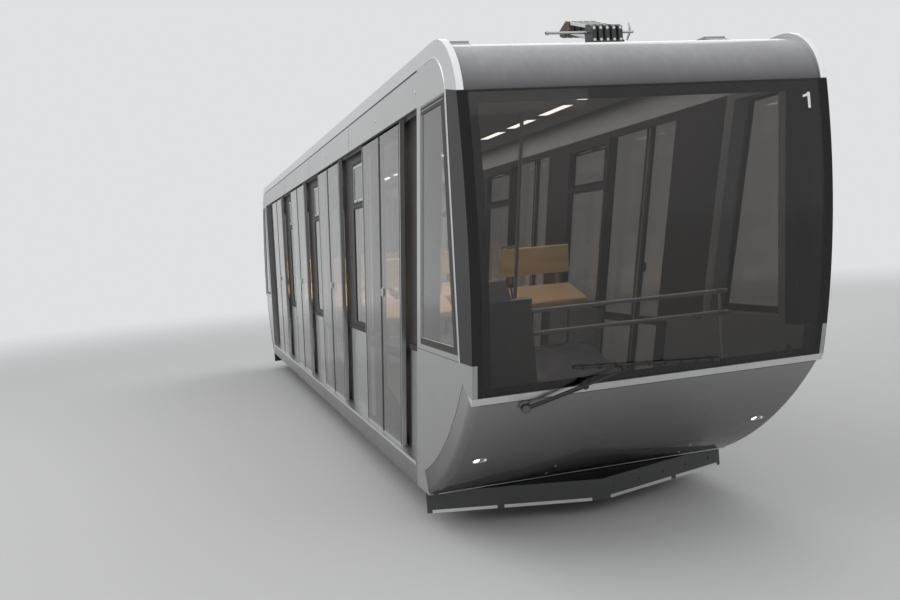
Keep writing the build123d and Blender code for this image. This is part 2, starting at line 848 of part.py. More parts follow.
# Wipers: a pivot on the end skin, an arm in two parts and a blade on the glass
wiper_pivot_y = 830.0
wiper_elbow_y = 490.0
wiper_hold_y = 240.0
blade_y = (400.0, -550.0)
wiper_pivot_drop = 35.0
wiper_elbow_rise = 15.0
wiper_hold_rise = 75.0
blade_rise = (55.0, 115.0)
knob_radius = 26.0
arm_radius = 13.0
link_radius = 8.0
hinge_radius = 17.0
hinge_half = 15.0
blade_radius = 9.0
blade_gap = 0.5
knob_sink = 2.0
knob_proud = 42.0
arm_off = 28.0
hold_off = 30.0


def wiper(end):
    side = end.side
    foot_z = end.glass_foot[1]

    def on_glass(rise, off):
        (x, z), (nx, nz) = glass_point(end, foot_z + rise)
        return x + nx * off, z + nz * off

    (px, pz), (nx, nz) = skin_point(end, end.strip_foot[1] - wiper_pivot_drop)
    foot, root, head = [(px + nx * off, -side * wiper_pivot_y, pz + nz * off)
                        for off in (-knob_sink, arm_off, knob_proud)]
    elbow_x, elbow_z = on_glass(wiper_elbow_rise, knob_proud)
    hold_x, hold_z = on_glass(wiper_hold_rise, hold_off)
    elbow = (elbow_x, -side * wiper_elbow_y, elbow_z)
    hold = (hold_x, -side * wiper_hold_y, hold_z)
    body = rod(foot, head, knob_radius) + rod(root, elbow, arm_radius)
    body += rod(elbow, hold, link_radius)
    for point in (elbow, hold):
        below = (point[0] - nx * hinge_half, point[1], point[2] - nz * hinge_half)
        above = (point[0] + nx * hinge_half, point[1], point[2] + nz * hinge_half)
        body += rod(below, above, hinge_radius)
    ends_xz = [on_glass(rise, blade_radius + blade_gap) for rise in blade_rise]
    blade = rod((ends_xz[0][0], side * blade_y[0], ends_xz[0][1]),
                (ends_xz[1][0], side * blade_y[1], ends_xz[1][1]), blade_radius)
    share = (-wiper_hold_y - blade_y[0]) / (blade_y[1] - blade_y[0])
    mid_x, mid_z = on_glass(blade_rise[0] + share * (blade_rise[1] - blade_rise[0]), blade_radius)
    body += blade + rod(hold, (mid_x, -side * wiper_hold_y, mid_z), link_radius)
    return body


save("wipers", [wiper(end) - end_skin(end) for end in ends])

# Headlamps: oval lamps sunk into the end skins
lamp_height = rail_top + 600
lamp_from_side = 170.0
lamp_y = side_plane - lamp_from_side
lamp_width = 46.0
lamp_tall = 27.0
lamp_depth = 60.0
lamp_sink = 6.0
lamp_cut_proud = 20.0
lamp_cut = 200.0


def lamp(end, y, sink, depth):
    (x, z), (nx, nz) = skin_point(end, lamp_height)
    plane = Plane((x - nx * (sink + depth), y, z - nz * (sink + depth)), x_dir=(0, 1, 0), z_dir=(nx, 0, nz))
    return extrude(plane * Ellipse(lamp_width, lamp_tall), amount=depth)


# Ploughs: V-shaped guards under both noses, hung from the end beams
plough_foot = rail_top + 95
plough_reach = 270.0
plough_set_back = 90.0
plough_wall = 14.0
hanger_y = 600.0
hanger_half = 60.0


def plough(end):
    side = end.side
    foot_x = end.skin_foot[0]
    tip, wing, back = foot_x + side * plough_reach, foot_x - side * plough_set_back, beam_x[side]
    z0, z1 = plough_foot, skirt_bottom - seat_gap
    outline = [(back, -sole_inner), (back, sole_inner), (wing, side_plane), (tip, 0), (wing, -side_plane)]
    inset = plough_wall / sin(atan(side_plane / (plough_reach + plough_set_back)))
    past_back, past_side = back - side * nose_reach, side_plane + nose_reach
    inner = [(past_back, -past_side), (past_back, past_side), (wing - side * inset, past_side),
             (wing - side * inset, side_plane), (tip - side * inset, 0), (wing - side * inset, -side_plane),
             (wing - side * inset, -past_side)]
    body = extrude(Face(Wire.make_polygon([(x, y, z0) for x, y in outline])), amount=z1 - z0, dir=(0, 0, 1))
    body -= extrude(Face(Wire.make_polygon([(x, y, z0 - over) for x, y in inner])),
                    amount=z1 - z0 + over - plough_wall, dir=(0, 0, 1))
    x0, x1 = sorted((back, back + side * 2 * cross_half))
    for y in (-hanger_y, hanger_y):
        body += block(x0, x1, y - hanger_half, y + hanger_half, z1 - plough_wall, sill_top - sole_depth)
    return body


save("ploughs", [plough(end) for end in ends])

# Rope anchors: a lug on the inner face of each end beam
lug_half = 30.0
bore_radius = 22.0
bore_height = rail_top + 205
bore_set_back = 110.0
lug_top_gap = 10.0
lug_length = 165.0
lug_foot = 70.0
lug_head = 60.0
lug_below = 55.0
lug_above = 50.0


def rope_anchor(end):
    side, x = end.side, beam_x[end.side]
    z1 = sill_top - lug_top_gap
    low, high, nose = bore_height - lug_below, bore_height + lug_above, x - side * lug_length
    points = [(x, z1), (x, sill_top - sole_depth), (x - side * lug_foot, low), (nose, low), (nose, high),
              (x - side * lug_head, z1)]
    bore = Pos(x - side * bore_set_back, 0, bore_height) * Rot(90, 0, 0) * Cylinder(bore_radius, 4 * lug_half)
    return plate(points, -lug_half, lug_half) - bore


save("rope_anchors", [rope_anchor(end) for end in ends])

# Rail brakes: calipers over both rails, under the outer cross members
caliper_length = 320.0
caliper_half = 95.0
caliper_foot = 10.0
caliper_gap = 8.0
caliper_slot = 40.0
slot_half = rail_head / 2 + caliper_gap
calipers = []
for x in (cross_x[0], cross_x[-1]):
    caliper = block(x - caliper_length / 2, x + caliper_length / 2, wheel_line - caliper_half,
                    wheel_line + caliper_half, caliper_foot, sill_top - sole_depth)
    caliper -= block(x - caliper_length, x + caliper_length, wheel_line - slot_half, wheel_line + slot_half,
                     0, rail_top + caliper_slot)
    calipers += both_sides(caliper)
save("rail_brakes", calipers)

# Current collector on the roof: five sprung arms between a pivot block and a row of contact shoes,
# on a frame with a horn bar across it
arm_count = 5
arm_pitch = 52.0
arm_bar = 9.0
arm_height = 22.0
arms_middle = 474.0
shoes_shift = 46.0
pivot_back = 1128.0
shoe_back = 1628.0
pivot_x = up.roof_x - pivot_back
shoe_x = up.roof_x - shoe_back
pivot_heights = (rail_top + 3320, rail_top + 3395)
shoe_rise = 155.0
pivot_half = 62.0
pivot_plate = 34.0
shoe_half = 95.0
shoe_plate = 36.0
shoe_height = 110.0
horn_y = (20.0, 712.0)
horn_height = rail_top + 3366
horn_radius = 9.0
base_y = (330.0, 390.0, 545.0, 605.0)
base_reach = 160.0
base_height = 60.0
leg_x = (100.0, -60.0)


def arm_y(i, shift):
    return arms_middle + shift + (i - (arm_count - 1) / 2) * arm_pitch


def pivot_block():
    """Five rounded cheeks on one bed, in front of the arms."""
    x0, x1 = pivot_x - pivot_half, pivot_x + pivot_half
    z0, z1 = pivot_heights[0] - 2 * arm_height, pivot_heights[1] + arm_height
    reach = arm_count * arm_pitch / 2
    bed = block(x0, x1, arms_middle - reach, arms_middle + reach, z0, z0 + arm_height)
    for i in range(arm_count):
        y = arm_y(i, 0)
        points = [(x0, z0 + over), (x1, z0 + over), (x1, z1 - arm_height), (pivot_x + arm_height, z1),
                  (pivot_x - arm_height, z1), (x0, z1 - arm_height)]
        bed += plate(points, y - pivot_plate / 2, y + pivot_plate / 2)
    return bed


def shoe_row():
    """Five contact shoes with humped backs, joined by a cross bar."""
    z0 = pivot_heights[0] + shoe_rise - arm_height
    z1 = z0 + shoe_height
    reach = arm_count * arm_pitch / 2
    row = block(shoe_x - arm_height, shoe_x + arm_height, arms_middle + shoes_shift - reach,
                arms_middle + shoes_shift + reach, z0, z0 + 2 * arm_height)
    for i in range(arm_count):
        y = arm_y(i, shoes_shift)
        points = [(shoe_x - shoe_half, z0 + arm_height), (shoe_x - shoe_half / 2, z0),
                  (shoe_x + shoe_half / 2, z0), (shoe_x + shoe_half, z0 + arm_height),
                  (shoe_x + shoe_half, z1 - arm_height), (shoe_x + shoe_half / 3, z1),
                  (shoe_x - shoe_half, z1 - 2 * arm_height)]
        row += plate(points, y - shoe_plate / 2, y + shoe_plate / 2)
    return row


def arm_bars():
    """The two bars of each arm, level with each other as a parallelogram, from pivot to shoe."""
    bars = []
    along = Vector(shoe_x - pivot_x, shoes_shift, shoe_rise)
    for i in range(arm_count):
        y0, y1 = arm_y(i, 0) - arm_bar / 2, arm_y(i, 0) + arm_bar / 2
        for z in pivot_heights:
            section = Wire.make_polygon([(pivot_x, y0, z), (pivot_x, y1, z), (pivot_x, y1, z + arm_height),
                                         (pivot_x, y0, z + arm_height)])
            bars.append(extrude(Face(section), amount=along.length, dir=along.normalized()))
    return bars


collector = pivot_block() + shoe_row()
for bar in arm_bars():
    collector += bar
x0, x1 = shoe_x - base_reach, pivot_x + base_reach
for y0, y1 in (base_y[:2], base_y[2:]):
    collector += block(x0, x1, y0, y1, skin_top, skin_top + base_height)
for x in (pivot_x + leg_x[0], shoe_x + leg_x[1]):
    collector += block(x - base_height / 2, x + base_height / 2, base_y[0], base_y[3],
                       skin_top + base_height / 3, skin_top + base_height)
leg_top = pivot_heights[0] - arm_height
for y0, y1 in (base_y[:2], base_y[2:]):
    collector += plate([(pivot_x + leg_x[0], skin_top + base_height - over),
                        (pivot_x - leg_x[0], skin_top + base_height - over),
                        (pivot_x - arm_height, leg_top), (pivot_x + arm_height, leg_top)],
                       y0 + arm_height, y1 - arm_height)
collector += rod((pivot_x, horn_y[0], horn_height), (pivot_x, horn_y[1], horn_height), horn_radius)
save("collector", [collector])

# Flat ducts along both sides of the roof
duct_y = (820.0, 970.0)
duct_height = 115.0
duct_gap_uphill = 370.0
duct_gap_downhill = 187.0
duct_x = (down.roof_x + duct_gap_downhill, up.roof_x - duct_gap_uphill)
save("roof_ducts", both_sides(block(duct_x[0], duct_x[1], duct_y[0], duct_y[1], skin_top,
                                    skin_top + duct_height)))

# The lamps and the end skins, with their oval openings
end_skins = []
lamps = []
for end in ends:
    skin = end_skin(end)
    for y in (-lamp_y, lamp_y):
        skin -= lamp(end, y, -lamp_cut_proud, lamp_cut)
        lamps.append(lamp(end, y, lamp_sink, lamp_depth))
    end_skins.append(skin)
save("end_skins", end_skins)
save("headlamps", lamps)
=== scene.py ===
import json
import math

import bmesh
import bpy
from mathutils import Matrix, Vector

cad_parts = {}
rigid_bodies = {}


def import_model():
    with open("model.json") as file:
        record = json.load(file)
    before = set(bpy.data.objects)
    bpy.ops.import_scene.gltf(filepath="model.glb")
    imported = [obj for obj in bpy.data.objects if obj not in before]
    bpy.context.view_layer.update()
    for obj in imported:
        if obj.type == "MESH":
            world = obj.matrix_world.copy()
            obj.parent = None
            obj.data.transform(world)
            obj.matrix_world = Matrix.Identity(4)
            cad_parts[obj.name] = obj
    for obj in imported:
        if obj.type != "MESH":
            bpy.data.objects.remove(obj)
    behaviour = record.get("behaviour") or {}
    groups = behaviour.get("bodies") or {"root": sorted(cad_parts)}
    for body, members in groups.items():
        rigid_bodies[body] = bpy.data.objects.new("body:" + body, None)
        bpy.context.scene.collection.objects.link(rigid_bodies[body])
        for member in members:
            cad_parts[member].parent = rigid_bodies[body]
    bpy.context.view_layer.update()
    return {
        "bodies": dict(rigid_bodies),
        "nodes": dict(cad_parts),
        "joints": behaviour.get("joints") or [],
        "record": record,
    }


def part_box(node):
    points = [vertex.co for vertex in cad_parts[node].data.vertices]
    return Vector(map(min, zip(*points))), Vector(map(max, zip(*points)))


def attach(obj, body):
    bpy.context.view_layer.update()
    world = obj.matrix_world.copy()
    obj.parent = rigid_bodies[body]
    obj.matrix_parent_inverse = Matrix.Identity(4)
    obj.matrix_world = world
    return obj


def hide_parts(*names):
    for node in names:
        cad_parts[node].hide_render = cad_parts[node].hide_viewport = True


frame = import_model()
nodes = frame["nodes"]
print("stage: frame loaded with", len(nodes), "nodes")

# Main sizes of the car in metres. X is uphill, Z is square to the rails.
car = {
    "slope": math.radians(18.1),
    "railTop": 0.028,
    "sidePlane": 1.155,
    "wallOuter": 1.075,
    "wallInner": 1.015,
    "doorStart": 3.852,  # uphill edge of the first doorway, at rail height
    "doorPitch": 2.430,
    "doorWidth": 1.310,
    "doorCount": 4,
    "bayWidth": 1.000,
    "lastBayWidth": 0.540,
    "jamb": 0.105,
    "endPost": 0.060,
    "endWall": {1: 0.540, -1: 0.246},
}
car["lean"] = math.tan(car["slope"])
car["sin"], car["cos"] = math.sin(car["slope"]), math.cos(car["slope"])
car["fasciaBottom"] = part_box("fascias")[0].z
car["sillTop"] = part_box("sill_strips")[1].z
car["roofTop"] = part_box("roof_edges")[1].z
car["skinTop"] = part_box("roof_skin")[1].z
car["ceiling"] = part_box("roof_skin")[0].z
car["baySill"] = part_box("bay_panels")[1].z
lastDoor = car["doorStart"] - (car["doorCount"] - 1) * car["doorPitch"]
car["lastBay"] = lastDoor - car["doorWidth"] - car["lastBayWidth"]
car["corner"] = {1: car["doorStart"] + car["endWall"][1], -1: car["lastBay"] - car["endWall"][-1]}
ends = (1, -1)
sides = (1, -1)
xAxis, yAxis, zAxis = Vector((1.0, 0.0, 0.0)), Vector((0.0, 1.0, 0.0)), Vector((0.0, 0.0, 1.0))
plumbUp = Vector((car["sin"], 0.0, car["cos"]))
levelUphill = Vector((car["cos"], 0.0, -car["sin"]))


def upright(u, z):  # x of a plumb line that crosses rail height at u
    return u + (z - car["railTop"]) * car["lean"]


def leaning(u0, u1, z0, z1):  # a panel outline with plumb edges
    return [(upright(u0, z0), z0), (upright(u1, z0), z0), (upright(u1, z1), z1), (upright(u0, z1), z1)]


def level(point, run):  # move level, downhill
    return (point[0] - run * car["cos"], point[1] + run * car["sin"])


def plumb(point, drop):
    return (point[0] - drop * car["sin"], point[1] - drop * car["cos"])


# Camera, beside the track at the upper end
cameraView = {
    "place": (10.726, -2.634, 1.977),
    "right": (0.28514, 0.95497, -0.08202),
    "up": (-0.03778, 0.09671, 0.99460),
    "ahead": (-0.95774, 0.28050, -0.06365),
    "lens": 36.57,
}


def placeCamera(look):
    camera = bpy.data.objects.new("viewCamera", bpy.data.cameras.new("viewCamera"))
    bpy.context.scene.collection.objects.link(camera)
    camera.data.lens = look["lens"]
    camera.data.sensor_width = 36.0
    camera.data.clip_end = 400.0
    turn = Matrix((look["right"], look["up"], [-v for v in look["ahead"]])).transposed()
    camera.matrix_world = Matrix.Translation(look["place"]) @ turn.to_4x4()
    bpy.context.scene.camera = camera


placeCamera(cameraView)

# Studio: a pale floor, an even pale surround, three large soft lamps and one under the car's ceiling
studio = {
    "floorColour": (0.60, 0.60, 0.595, 1.0),
    "floorSize": 240.0,
    "fadeNear": 7.0,  # from here on the floor fades into the surround
    "fadeFar": 26.0,
    "surround": (0.74, 0.75, 0.76, 1.0),
    "surroundStrength": 0.80,
    "lamps": [  # place, aimed at, size, power
        ((3.0, -9.0, 11.0), (0.5, 0.0, 1.0), 11.0, 620.0),
        ((-7.0, 7.0, 9.0), zAxis, 9.0, 330.0),
        ((15.0, 1.0, 8.0), (4.5, 0.0, 1.2), 7.0, 300.0),
    ],
    "glossyLamps": 2,  # the later lamps don't mirror in the glass
    "cabin": {"place": (0.0, 0.0, 2.985), "long": 10.7, "wide": 1.7, "power": 205.0},
}


def addNode(tree, kind, label="", **values):
    node = tree.nodes.new(kind)
    node.label = label
    for key, value in values.items():
        setattr(node, key, value)
    return node


def link(tree, start, stop):
    tree.links.new(start, stop)


def setInputs(node, values):
    for label, value in values.items():
        node.inputs[label].default_value = value


def mixShaders(tree, mask, first, second, output):
    mixed = addNode(tree, "ShaderNodeMixShader")
    link(tree, mask, mixed.inputs["Fac"])
    link(tree, first, mixed.inputs[1])
    link(tree, second, mixed.inputs[2])
    link(tree, mixed.outputs[0], tree.nodes[output].inputs["Surface"])


def newFinish(name):
    finish = bpy.data.materials.new(name)
    finish.use_nodes = True
    tree = finish.node_tree
    return finish, tree, tree.nodes["Principled BSDF"]


def sightMask(tree):  # 1 for what the camera sees, by itself, in gloss or through glass
    path = addNode(tree, "ShaderNodeLightPath")
    mask = path.outputs["Is Camera Ray"]
    for kind in ("Is Glossy Ray", "Is Transmission Ray"):
        either = addNode(tree, "ShaderNodeMath", operation="MAXIMUM")
        link(tree, mask, either.inputs[0])
        link(tree, path.outputs[kind], either.inputs[1])
        mask = either.outputs[0]
    return mask


def makeFloorPaint(look):  # matt paint, which fades into the surround far from the car
    paint, tree, shader = newFinish("studioFloor")
    setInputs(shader, {"Base Color": look["floorColour"], "Roughness": 0.85, "Specular IOR Level": 0.15})
    coords = addNode(tree, "ShaderNodeTexCoord")
    away = addNode(tree, "ShaderNodeVectorMath", operation="LENGTH")
    link(tree, coords.outputs["Object"], away.inputs[0])
    fade = addNode(tree, "ShaderNodeMapRange", interpolation_type="SMOOTHSTEP")
    setInputs(fade, {"From Min": look["fadeNear"], "From Max": look["fadeFar"]})
    link(tree, away.outputs["Value"], fade.inputs["Value"])
    share = addNode(tree, "ShaderNodeMath", operation="MULTIPLY")
    link(tree, fade.outputs[0], share.inputs[0])
    link(tree, sightMask(tree), share.inputs[1])
    distance = addNode(tree, "ShaderNodeEmission", "the surround's colour")
    setInputs(distance, {"Color": look["surround"]})
    mixShaders(tree, share.outputs[0], shader.outputs[0], distance.outputs[0], "Material Output")
    return paint


def addLamp(name, place, power, glossy):
    lamp = bpy.data.objects.new(name, bpy.data.lights.new(name, "AREA"))
    bpy.context.scene.collection.objects.link(lamp)
    lamp.location = place
    lamp.data.energy = power
    lamp.visible_glossy = glossy
    return lamp


def buildStudio(look):
    scene = bpy.context.scene
    scene.view_settings.view_transform = "Standard"
    world = bpy.data.worlds.new("surround")
    world.use_nodes = True
    scene.world = world
    tree = world.node_tree
    back = tree.nodes["Background"]
    setInputs(back, {"Color": look["surround"], "Strength": look["surroundStrength"]})
    sight = addNode(tree, "ShaderNodeBackground", "what the camera and gloss see")
    setInputs(sight, {"Color": look["surround"], "Strength": 1.0})
    mixShaders(tree, sightMask(tree), back.outputs[0], sight.outputs[0], "World Output")
    for number, (place, aim, size, power) in enumerate(look["lamps"]):
        lamp = addLamp(f"softLamp{number}", place, power, number < look["glossyLamps"])
        lamp.data.size = size
        lamp.rotation_euler = (Vector(aim) - Vector(place)).to_track_quat("-Z", "Y").to_euler()
    cabin = look["cabin"]
    lamp = addLamp("cabinLamp", cabin["place"], cabin["power"], False)
    lamp.data.shape = "RECTANGLE"
    lamp.data.size, lamp.data.size_y = cabin["long"], cabin["wide"]
    lamp.visible_transmission = False
    bpy.ops.mesh.primitive_plane_add(size=look["floorSize"])
    floor = bpy.context.object
    floor.name = "studioFloor"
    floor.data.materials.append(makeFloorPaint(look))


buildStudio(studio)
print("stage: camera and studio")


# Shader groups that several finishes use
def newGroup(name, inputs, outputs):
    tree = bpy.data.node_groups.new(name, "ShaderNodeTree")
    for label, value in inputs.items():
        kind = "NodeSocketVector" if isinstance(value, tuple) else "NodeSocketFloat"
        socket = tree.interface.new_socket(name=label, in_out="INPUT", socket_type=kind)
        socket.default_value = value
    for label in outputs:
        tree.interface.new_socket(name=label, in_out="OUTPUT", socket_type="NodeSocketFloat")
    return tree, tree.nodes.new("NodeGroupInput"), tree.nodes.new("NodeGroupOutput")


def feed(tree, value, socket):  # a number or a colour is set, and an output is linked
    if isinstance(value, float):
        socket.default_value = value
    elif isinstance(value, tuple):
        socket.default_value = (*value, 1.0)
    else:
        link(tree, value, socket)


def mathNode(tree, operation, first, second, clamp=False):
    node = addNode(tree, "ShaderNodeMath", operation=operation, use_clamp=clamp)
    feed(tree, first, node.inputs[0])
    feed(tree, second, node.inputs[1])
    return node.outputs[0]


def fixedVector(tree, values):
    node = addNode(tree, "ShaderNodeCombineXYZ")
    for socket, value in zip(node.inputs, values):
        socket.default_value = value
    return node.outputs[0]


def objectPoint(tree, stretch=None):
    coords = addNode(tree, "ShaderNodeTexCoord")
    scaled = addNode(tree, "ShaderNodeVectorMath", operation="MULTIPLY")
    link(tree, coords.outputs["Object"], scaled.inputs[0])
    if stretch is None:
        scaled.inputs[1].default_value = (1.0, 1.0, 1.0)
    else:
        link(tree, stretch, scaled.inputs[1])
    return scaled.outputs[0]


def noise(tree, point, scale, detail):
    node = addNode(tree, "ShaderNodeTexNoise")
    setInputs(node, {"Detail": detail})
    link(tree, point, node.inputs["Vector"])
    feed(tree, scale, node.inputs["Scale"])
    return node.outputs["Fac"]


def makePanelWaves():  # the slow waves of a hand-fitted sheet panel
    tree, inside, outside = newGroup("panelWaves", {"Scale": 1.6}, ["Height"])
    link(tree, noise(tree, objectPoint(tree), inside.outputs["Scale"], 1.0), outside.inputs["Height"])
    return tree


def makeFineGrain():  # orange peel, cast or rubber skin
    tree, inside, outside = newGroup("fineGrain", {"Scale": 400.0}, ["Mask"])
    link(tree, noise(tree, objectPoint(tree), inside.outputs["Scale"], 3.0), outside.inputs["Mask"])
    return tree


def makeRoadFilmAndPaintedLight():  # the grey film that spray leaves low on the body, with runs; on the nose and the header it is a painted reflection instead
    values = {"Low": 0.2, "High": 1.2, "Amount": 0.5, "Patchy": 1.0}
    tree, inside, outside = newGroup("roadFilmAndPaintedLight", values, ["Mask"])
    coords = addNode(tree, "ShaderNodeTexCoord")
    split = addNode(tree, "ShaderNodeSeparateXYZ")
    link(tree, coords.outputs["Object"], split.inputs[0])
    fade = addNode(tree, "ShaderNodeMapRange")
    link(tree, split.outputs["Z"], fade.inputs["Value"])
    link(tree, inside.outputs["Low"], fade.inputs["From Min"])
    link(tree, inside.outputs["High"], fade.inputs["From Max"])
    setInputs(fade, {"To Min": 1.0, "To Max": 0.0})
    blotch = noise(tree, objectPoint(tree), 2.2, 4.0)
    runs = noise(tree, objectPoint(tree, fixedVector(tree, (26.0, 26.0, 1.3))), 1.0, 3.0)
    spots = mathNode(tree, "MULTIPLY", blotch, mathNode(tree, "ADD", runs, 0.35))
    uneven = mathNode(tree, "SUBTRACT", mathNode(tree, "MULTIPLY", spots, 2.2), 1.0)
    share = mathNode(tree, "ADD", mathNode(tree, "MULTIPLY", uneven, inside.outputs["Patchy"]), 1.0)
    film = mathNode(tree, "MULTIPLY", fade.outputs[0], share)
    link(tree, mathNode(tree, "MULTIPLY", film, inside.outputs["Amount"], True), outside.inputs["Mask"])
    return tree


def makeBrushMarks():  # fine parallel marks of a brushed or rolled metal
    tree, inside, outside = newGroup("brushMarks", {"Stretch": (4.0, 900.0, 900.0)}, ["Mask"])
    link(tree, noise(tree, objectPoint(tree, inside.outputs["Stretch"]), 1.0, 4.0), outside.inputs["Mask"])
    return tree


def makeWornSpots():  # rubbed or chipped patches
    tree, inside, outside = newGroup("wornSpots", {"Scale": 18.0, "Edge": 0.62, "Amount": 1.0}, ["Mask"])
    spots = noise(tree, objectPoint(tree), inside.outputs["Scale"], 6.0)
    cut = mathNode(tree, "MULTIPLY", mathNode(tree, "SUBTRACT", spots, inside.outputs["Edge"]), 9.0, True)
    link(tree, mathNode(tree, "MULTIPLY", cut, inside.outputs["Amount"], True), outside.inputs["Mask"])
    return tree


groups = {
    "waves": makePanelWaves(),
    "grain": makeFineGrain(),
    "film": makeRoadFilmAndPaintedLight(),
    "brush": makeBrushMarks(),
    "worn": makeWornSpots(),
}
print("stage: shader groups")


def placeGroup(tree, key, values):
    node = addNode(tree, "ShaderNodeGroup", key)
    node.node_tree = groups[key]
    setInputs(node, values)
    return node.outputs[0]


def blendColour(tree, mask, first, second):
    mixed = addNode(tree, "ShaderNodeMix", data_type="RGBA")
    link(tree, mask, mixed.inputs["Factor"])
    feed(tree, first, mixed.inputs[6])
    feed(tree, second, mixed.inputs[7])
    return mixed.outputs[2]


def setBump(tree, shader, height, distance, strength=1.0):
    bump = addNode(tree, "ShaderNodeBump")
    setInputs(bump, {"Strength": strength, "Distance": distance})
    link(tree, height, bump.inputs["Height"])
    link(tree, bump.outputs[0], shader.inputs["Normal"])


# Painted finishes: waves or grain is the scale of the skin, depth its height in metres, film the road dirt,
# and on the nose and the header a painted reflection
paintLooks = {
    "silverBody": {"colour": (0.40, 0.405, 0.405), "metallic": 0.78, "roughness": 0.32, "coat": 0.55,
        "coatRoughness": 0.06, "waves": 1.5, "depth": 0.0016,
        "film": {"Low": 0.22, "High": 1.45, "Amount": 0.34, "Patchy": 0.4},
        "filmColour": (0.20, 0.19, 0.175)},
    # noseSilver: its near-black film low on the nose is a painted dark reflection of the ground
    "noseSilver": {"colour": (0.40, 0.402, 0.402), "metallic": 0.80, "roughness": 0.32, "coat": 0.6,
        "coatRoughness": 0.05, "waves": 1.2, "depth": 0.0012,
        "film": {"Low": 0.34, "High": 1.42, "Amount": 1.0, "Patchy": 0.10},
        "filmColour": (0.050, 0.047, 0.044)},
    "skirtSilver": {"colour": (0.30, 0.30, 0.30), "metallic": 0.78, "roughness": 0.33, "coat": 0.5,
        "coatRoughness": 0.07, "waves": 1.8, "depth": 0.0014,
        "film": {"Low": 0.20, "High": 0.60, "Amount": 0.9, "Patchy": 0.4},
        "filmColour": (0.075, 0.070, 0.066)},
    # ploughPaint: the near-black colour is the plough's dark paint and partly painted shade, for the shadow
    # under the nose
    "ploughPaint": {"colour": (0.030, 0.032, 0.036), "roughness": 0.34, "coat": 0.3, "coatRoughness": 0.15,
        "grain": 160.0, "depth": 0.00015, "film": {"Low": 0.0, "High": 0.5, "Amount": 0.25},
        "filmColour": (0.10, 0.092, 0.082)},
    "carbonShoe": {"colour": (0.105, 0.052, 0.036), "roughness": 0.55, "grain": 220.0, "depth": 0.0002},
    "paleArch": {"colour": (0.57, 0.575, 0.58), "metallic": 0.45, "roughness": 0.34, "coat": 0.5,
        "coatRoughness": 0.08, "grain": 300.0, "depth": 0.00004},
    "whiteArch": {"colour": (0.94, 0.945, 0.95), "roughness": 0.33, "coat": 0.5, "coatRoughness": 0.06,
        "grain": 300.0, "depth": 0.00004},
    "whiteFilm": {"colour": (0.84, 0.84, 0.83), "roughness": 0.35, "grain": 900.0, "depth": 0.00003},
    "fasciaPaint": {"colour": (0.50, 0.505, 0.505), "metallic": 0.30, "roughness": 0.38, "coat": 0.2,
        "coatRoughness": 0.2, "waves": 0.9, "depth": 0.0015,
        "film": {"Low": 2.6, "High": 3.1, "Amount": 0.10}, "filmColour": (0.28, 0.27, 0.25)},
    "roofPaint": {"colour": (0.46, 0.465, 0.47), "metallic": 0.2, "roughness": 0.45, "waves": 1.2,
        "depth": 0.002, "film": {"Low": 3.0, "High": 3.6, "Amount": 0.45},
        "filmColour": (0.22, 0.21, 0.19)},
    "glossBlack": {"colour": (0.018, 0.017, 0.017), "roughness": 0.12, "coat": 0.6, "coatRoughness": 0.04,
        "waves": 1.1, "depth": 0.0012, "film": {"Low": 0.9, "High": 2.9, "Amount": 0.10},
        "filmColour": (0.12, 0.115, 0.11)},
    "pillarBlack": {"colour": (0.022, 0.021, 0.021), "roughness": 0.33, "specular": 0.09, "waves": 1.1,
        "depth": 0.0010, "film": {"Low": 0.9, "High": 2.9, "Amount": 0.08},
        "filmColour": (0.12, 0.115, 0.11)},
    # headerGloss: the pale film towards the header's top is a painted reflection
    "headerGloss": {"colour": (0.055, 0.054, 0.057), "roughness": 0.34, "coat": 0.6, "coatRoughness": 0.06,
        "waves": 0.9, "depth": 0.0016, "film": {"Low": 3.06, "High": 2.76, "Amount": 0.78, "Patchy": 0.3},
        "filmColour": (0.55, 0.55, 0.56)},
    # barSilver: the near-white, non-metallic colour is partly a painted reflection of the bright sky the
    # polished bars mirror
    "barSilver": {"colour": (0.92, 0.92, 0.92), "roughness": 0.33, "coat": 0.2, "coatRoughness": 0.1,
        "grain": 600.0, "depth": 0.00003},
    "capGrey": {"colour": (0.16, 0.16, 0.165), "metallic": 0.5, "roughness": 0.34, "grain": 500.0,
        "depth": 0.00004},
    "postBlack": {"colour": (0.034, 0.029, 0.027), "roughness": 0.36, "specular": 0.12, "grain": 260.0,
        "depth": 0.00005, "film": {"Low": 0.3, "High": 1.6, "Amount": 0.14},
        "filmColour": (0.14, 0.13, 0.12)},
    "framePaint": {"colour": (0.055, 0.056, 0.060), "roughness": 0.52, "grain": 180.0, "depth": 0.00018,
        "film": {"Low": 0.0, "High": 0.7, "Amount": 0.65}, "filmColour": (0.17, 0.145, 0.12)},
    "deskPaint": {"colour": (0.52, 0.53, 0.54), "roughness": 0.42, "coat": 0.1, "coatRoughness": 0.3,
        "grain": 500.0, "depth": 0.00006},
    "ceilingPaint": {"colour": (0.50, 0.505, 0.51), "roughness": 0.5, "grain": 90.0, "depth": 0.00008},
    "wiperBlack": {"colour": (0.016, 0.016, 0.017), "roughness": 0.42, "coat": 0.1, "coatRoughness": 0.3,
        "grain": 700.0, "depth": 0.00006},
    "sealRubber": {"colour": (0.012, 0.012, 0.012), "roughness": 0.62, "grain": 600.0, "depth": 0.00008},
    "collectorPaint": {"colour": (0.045, 0.045, 0.047), "metallic": 0.1, "roughness": 0.45, "grain": 220.0,
        "depth": 0.0002},
}


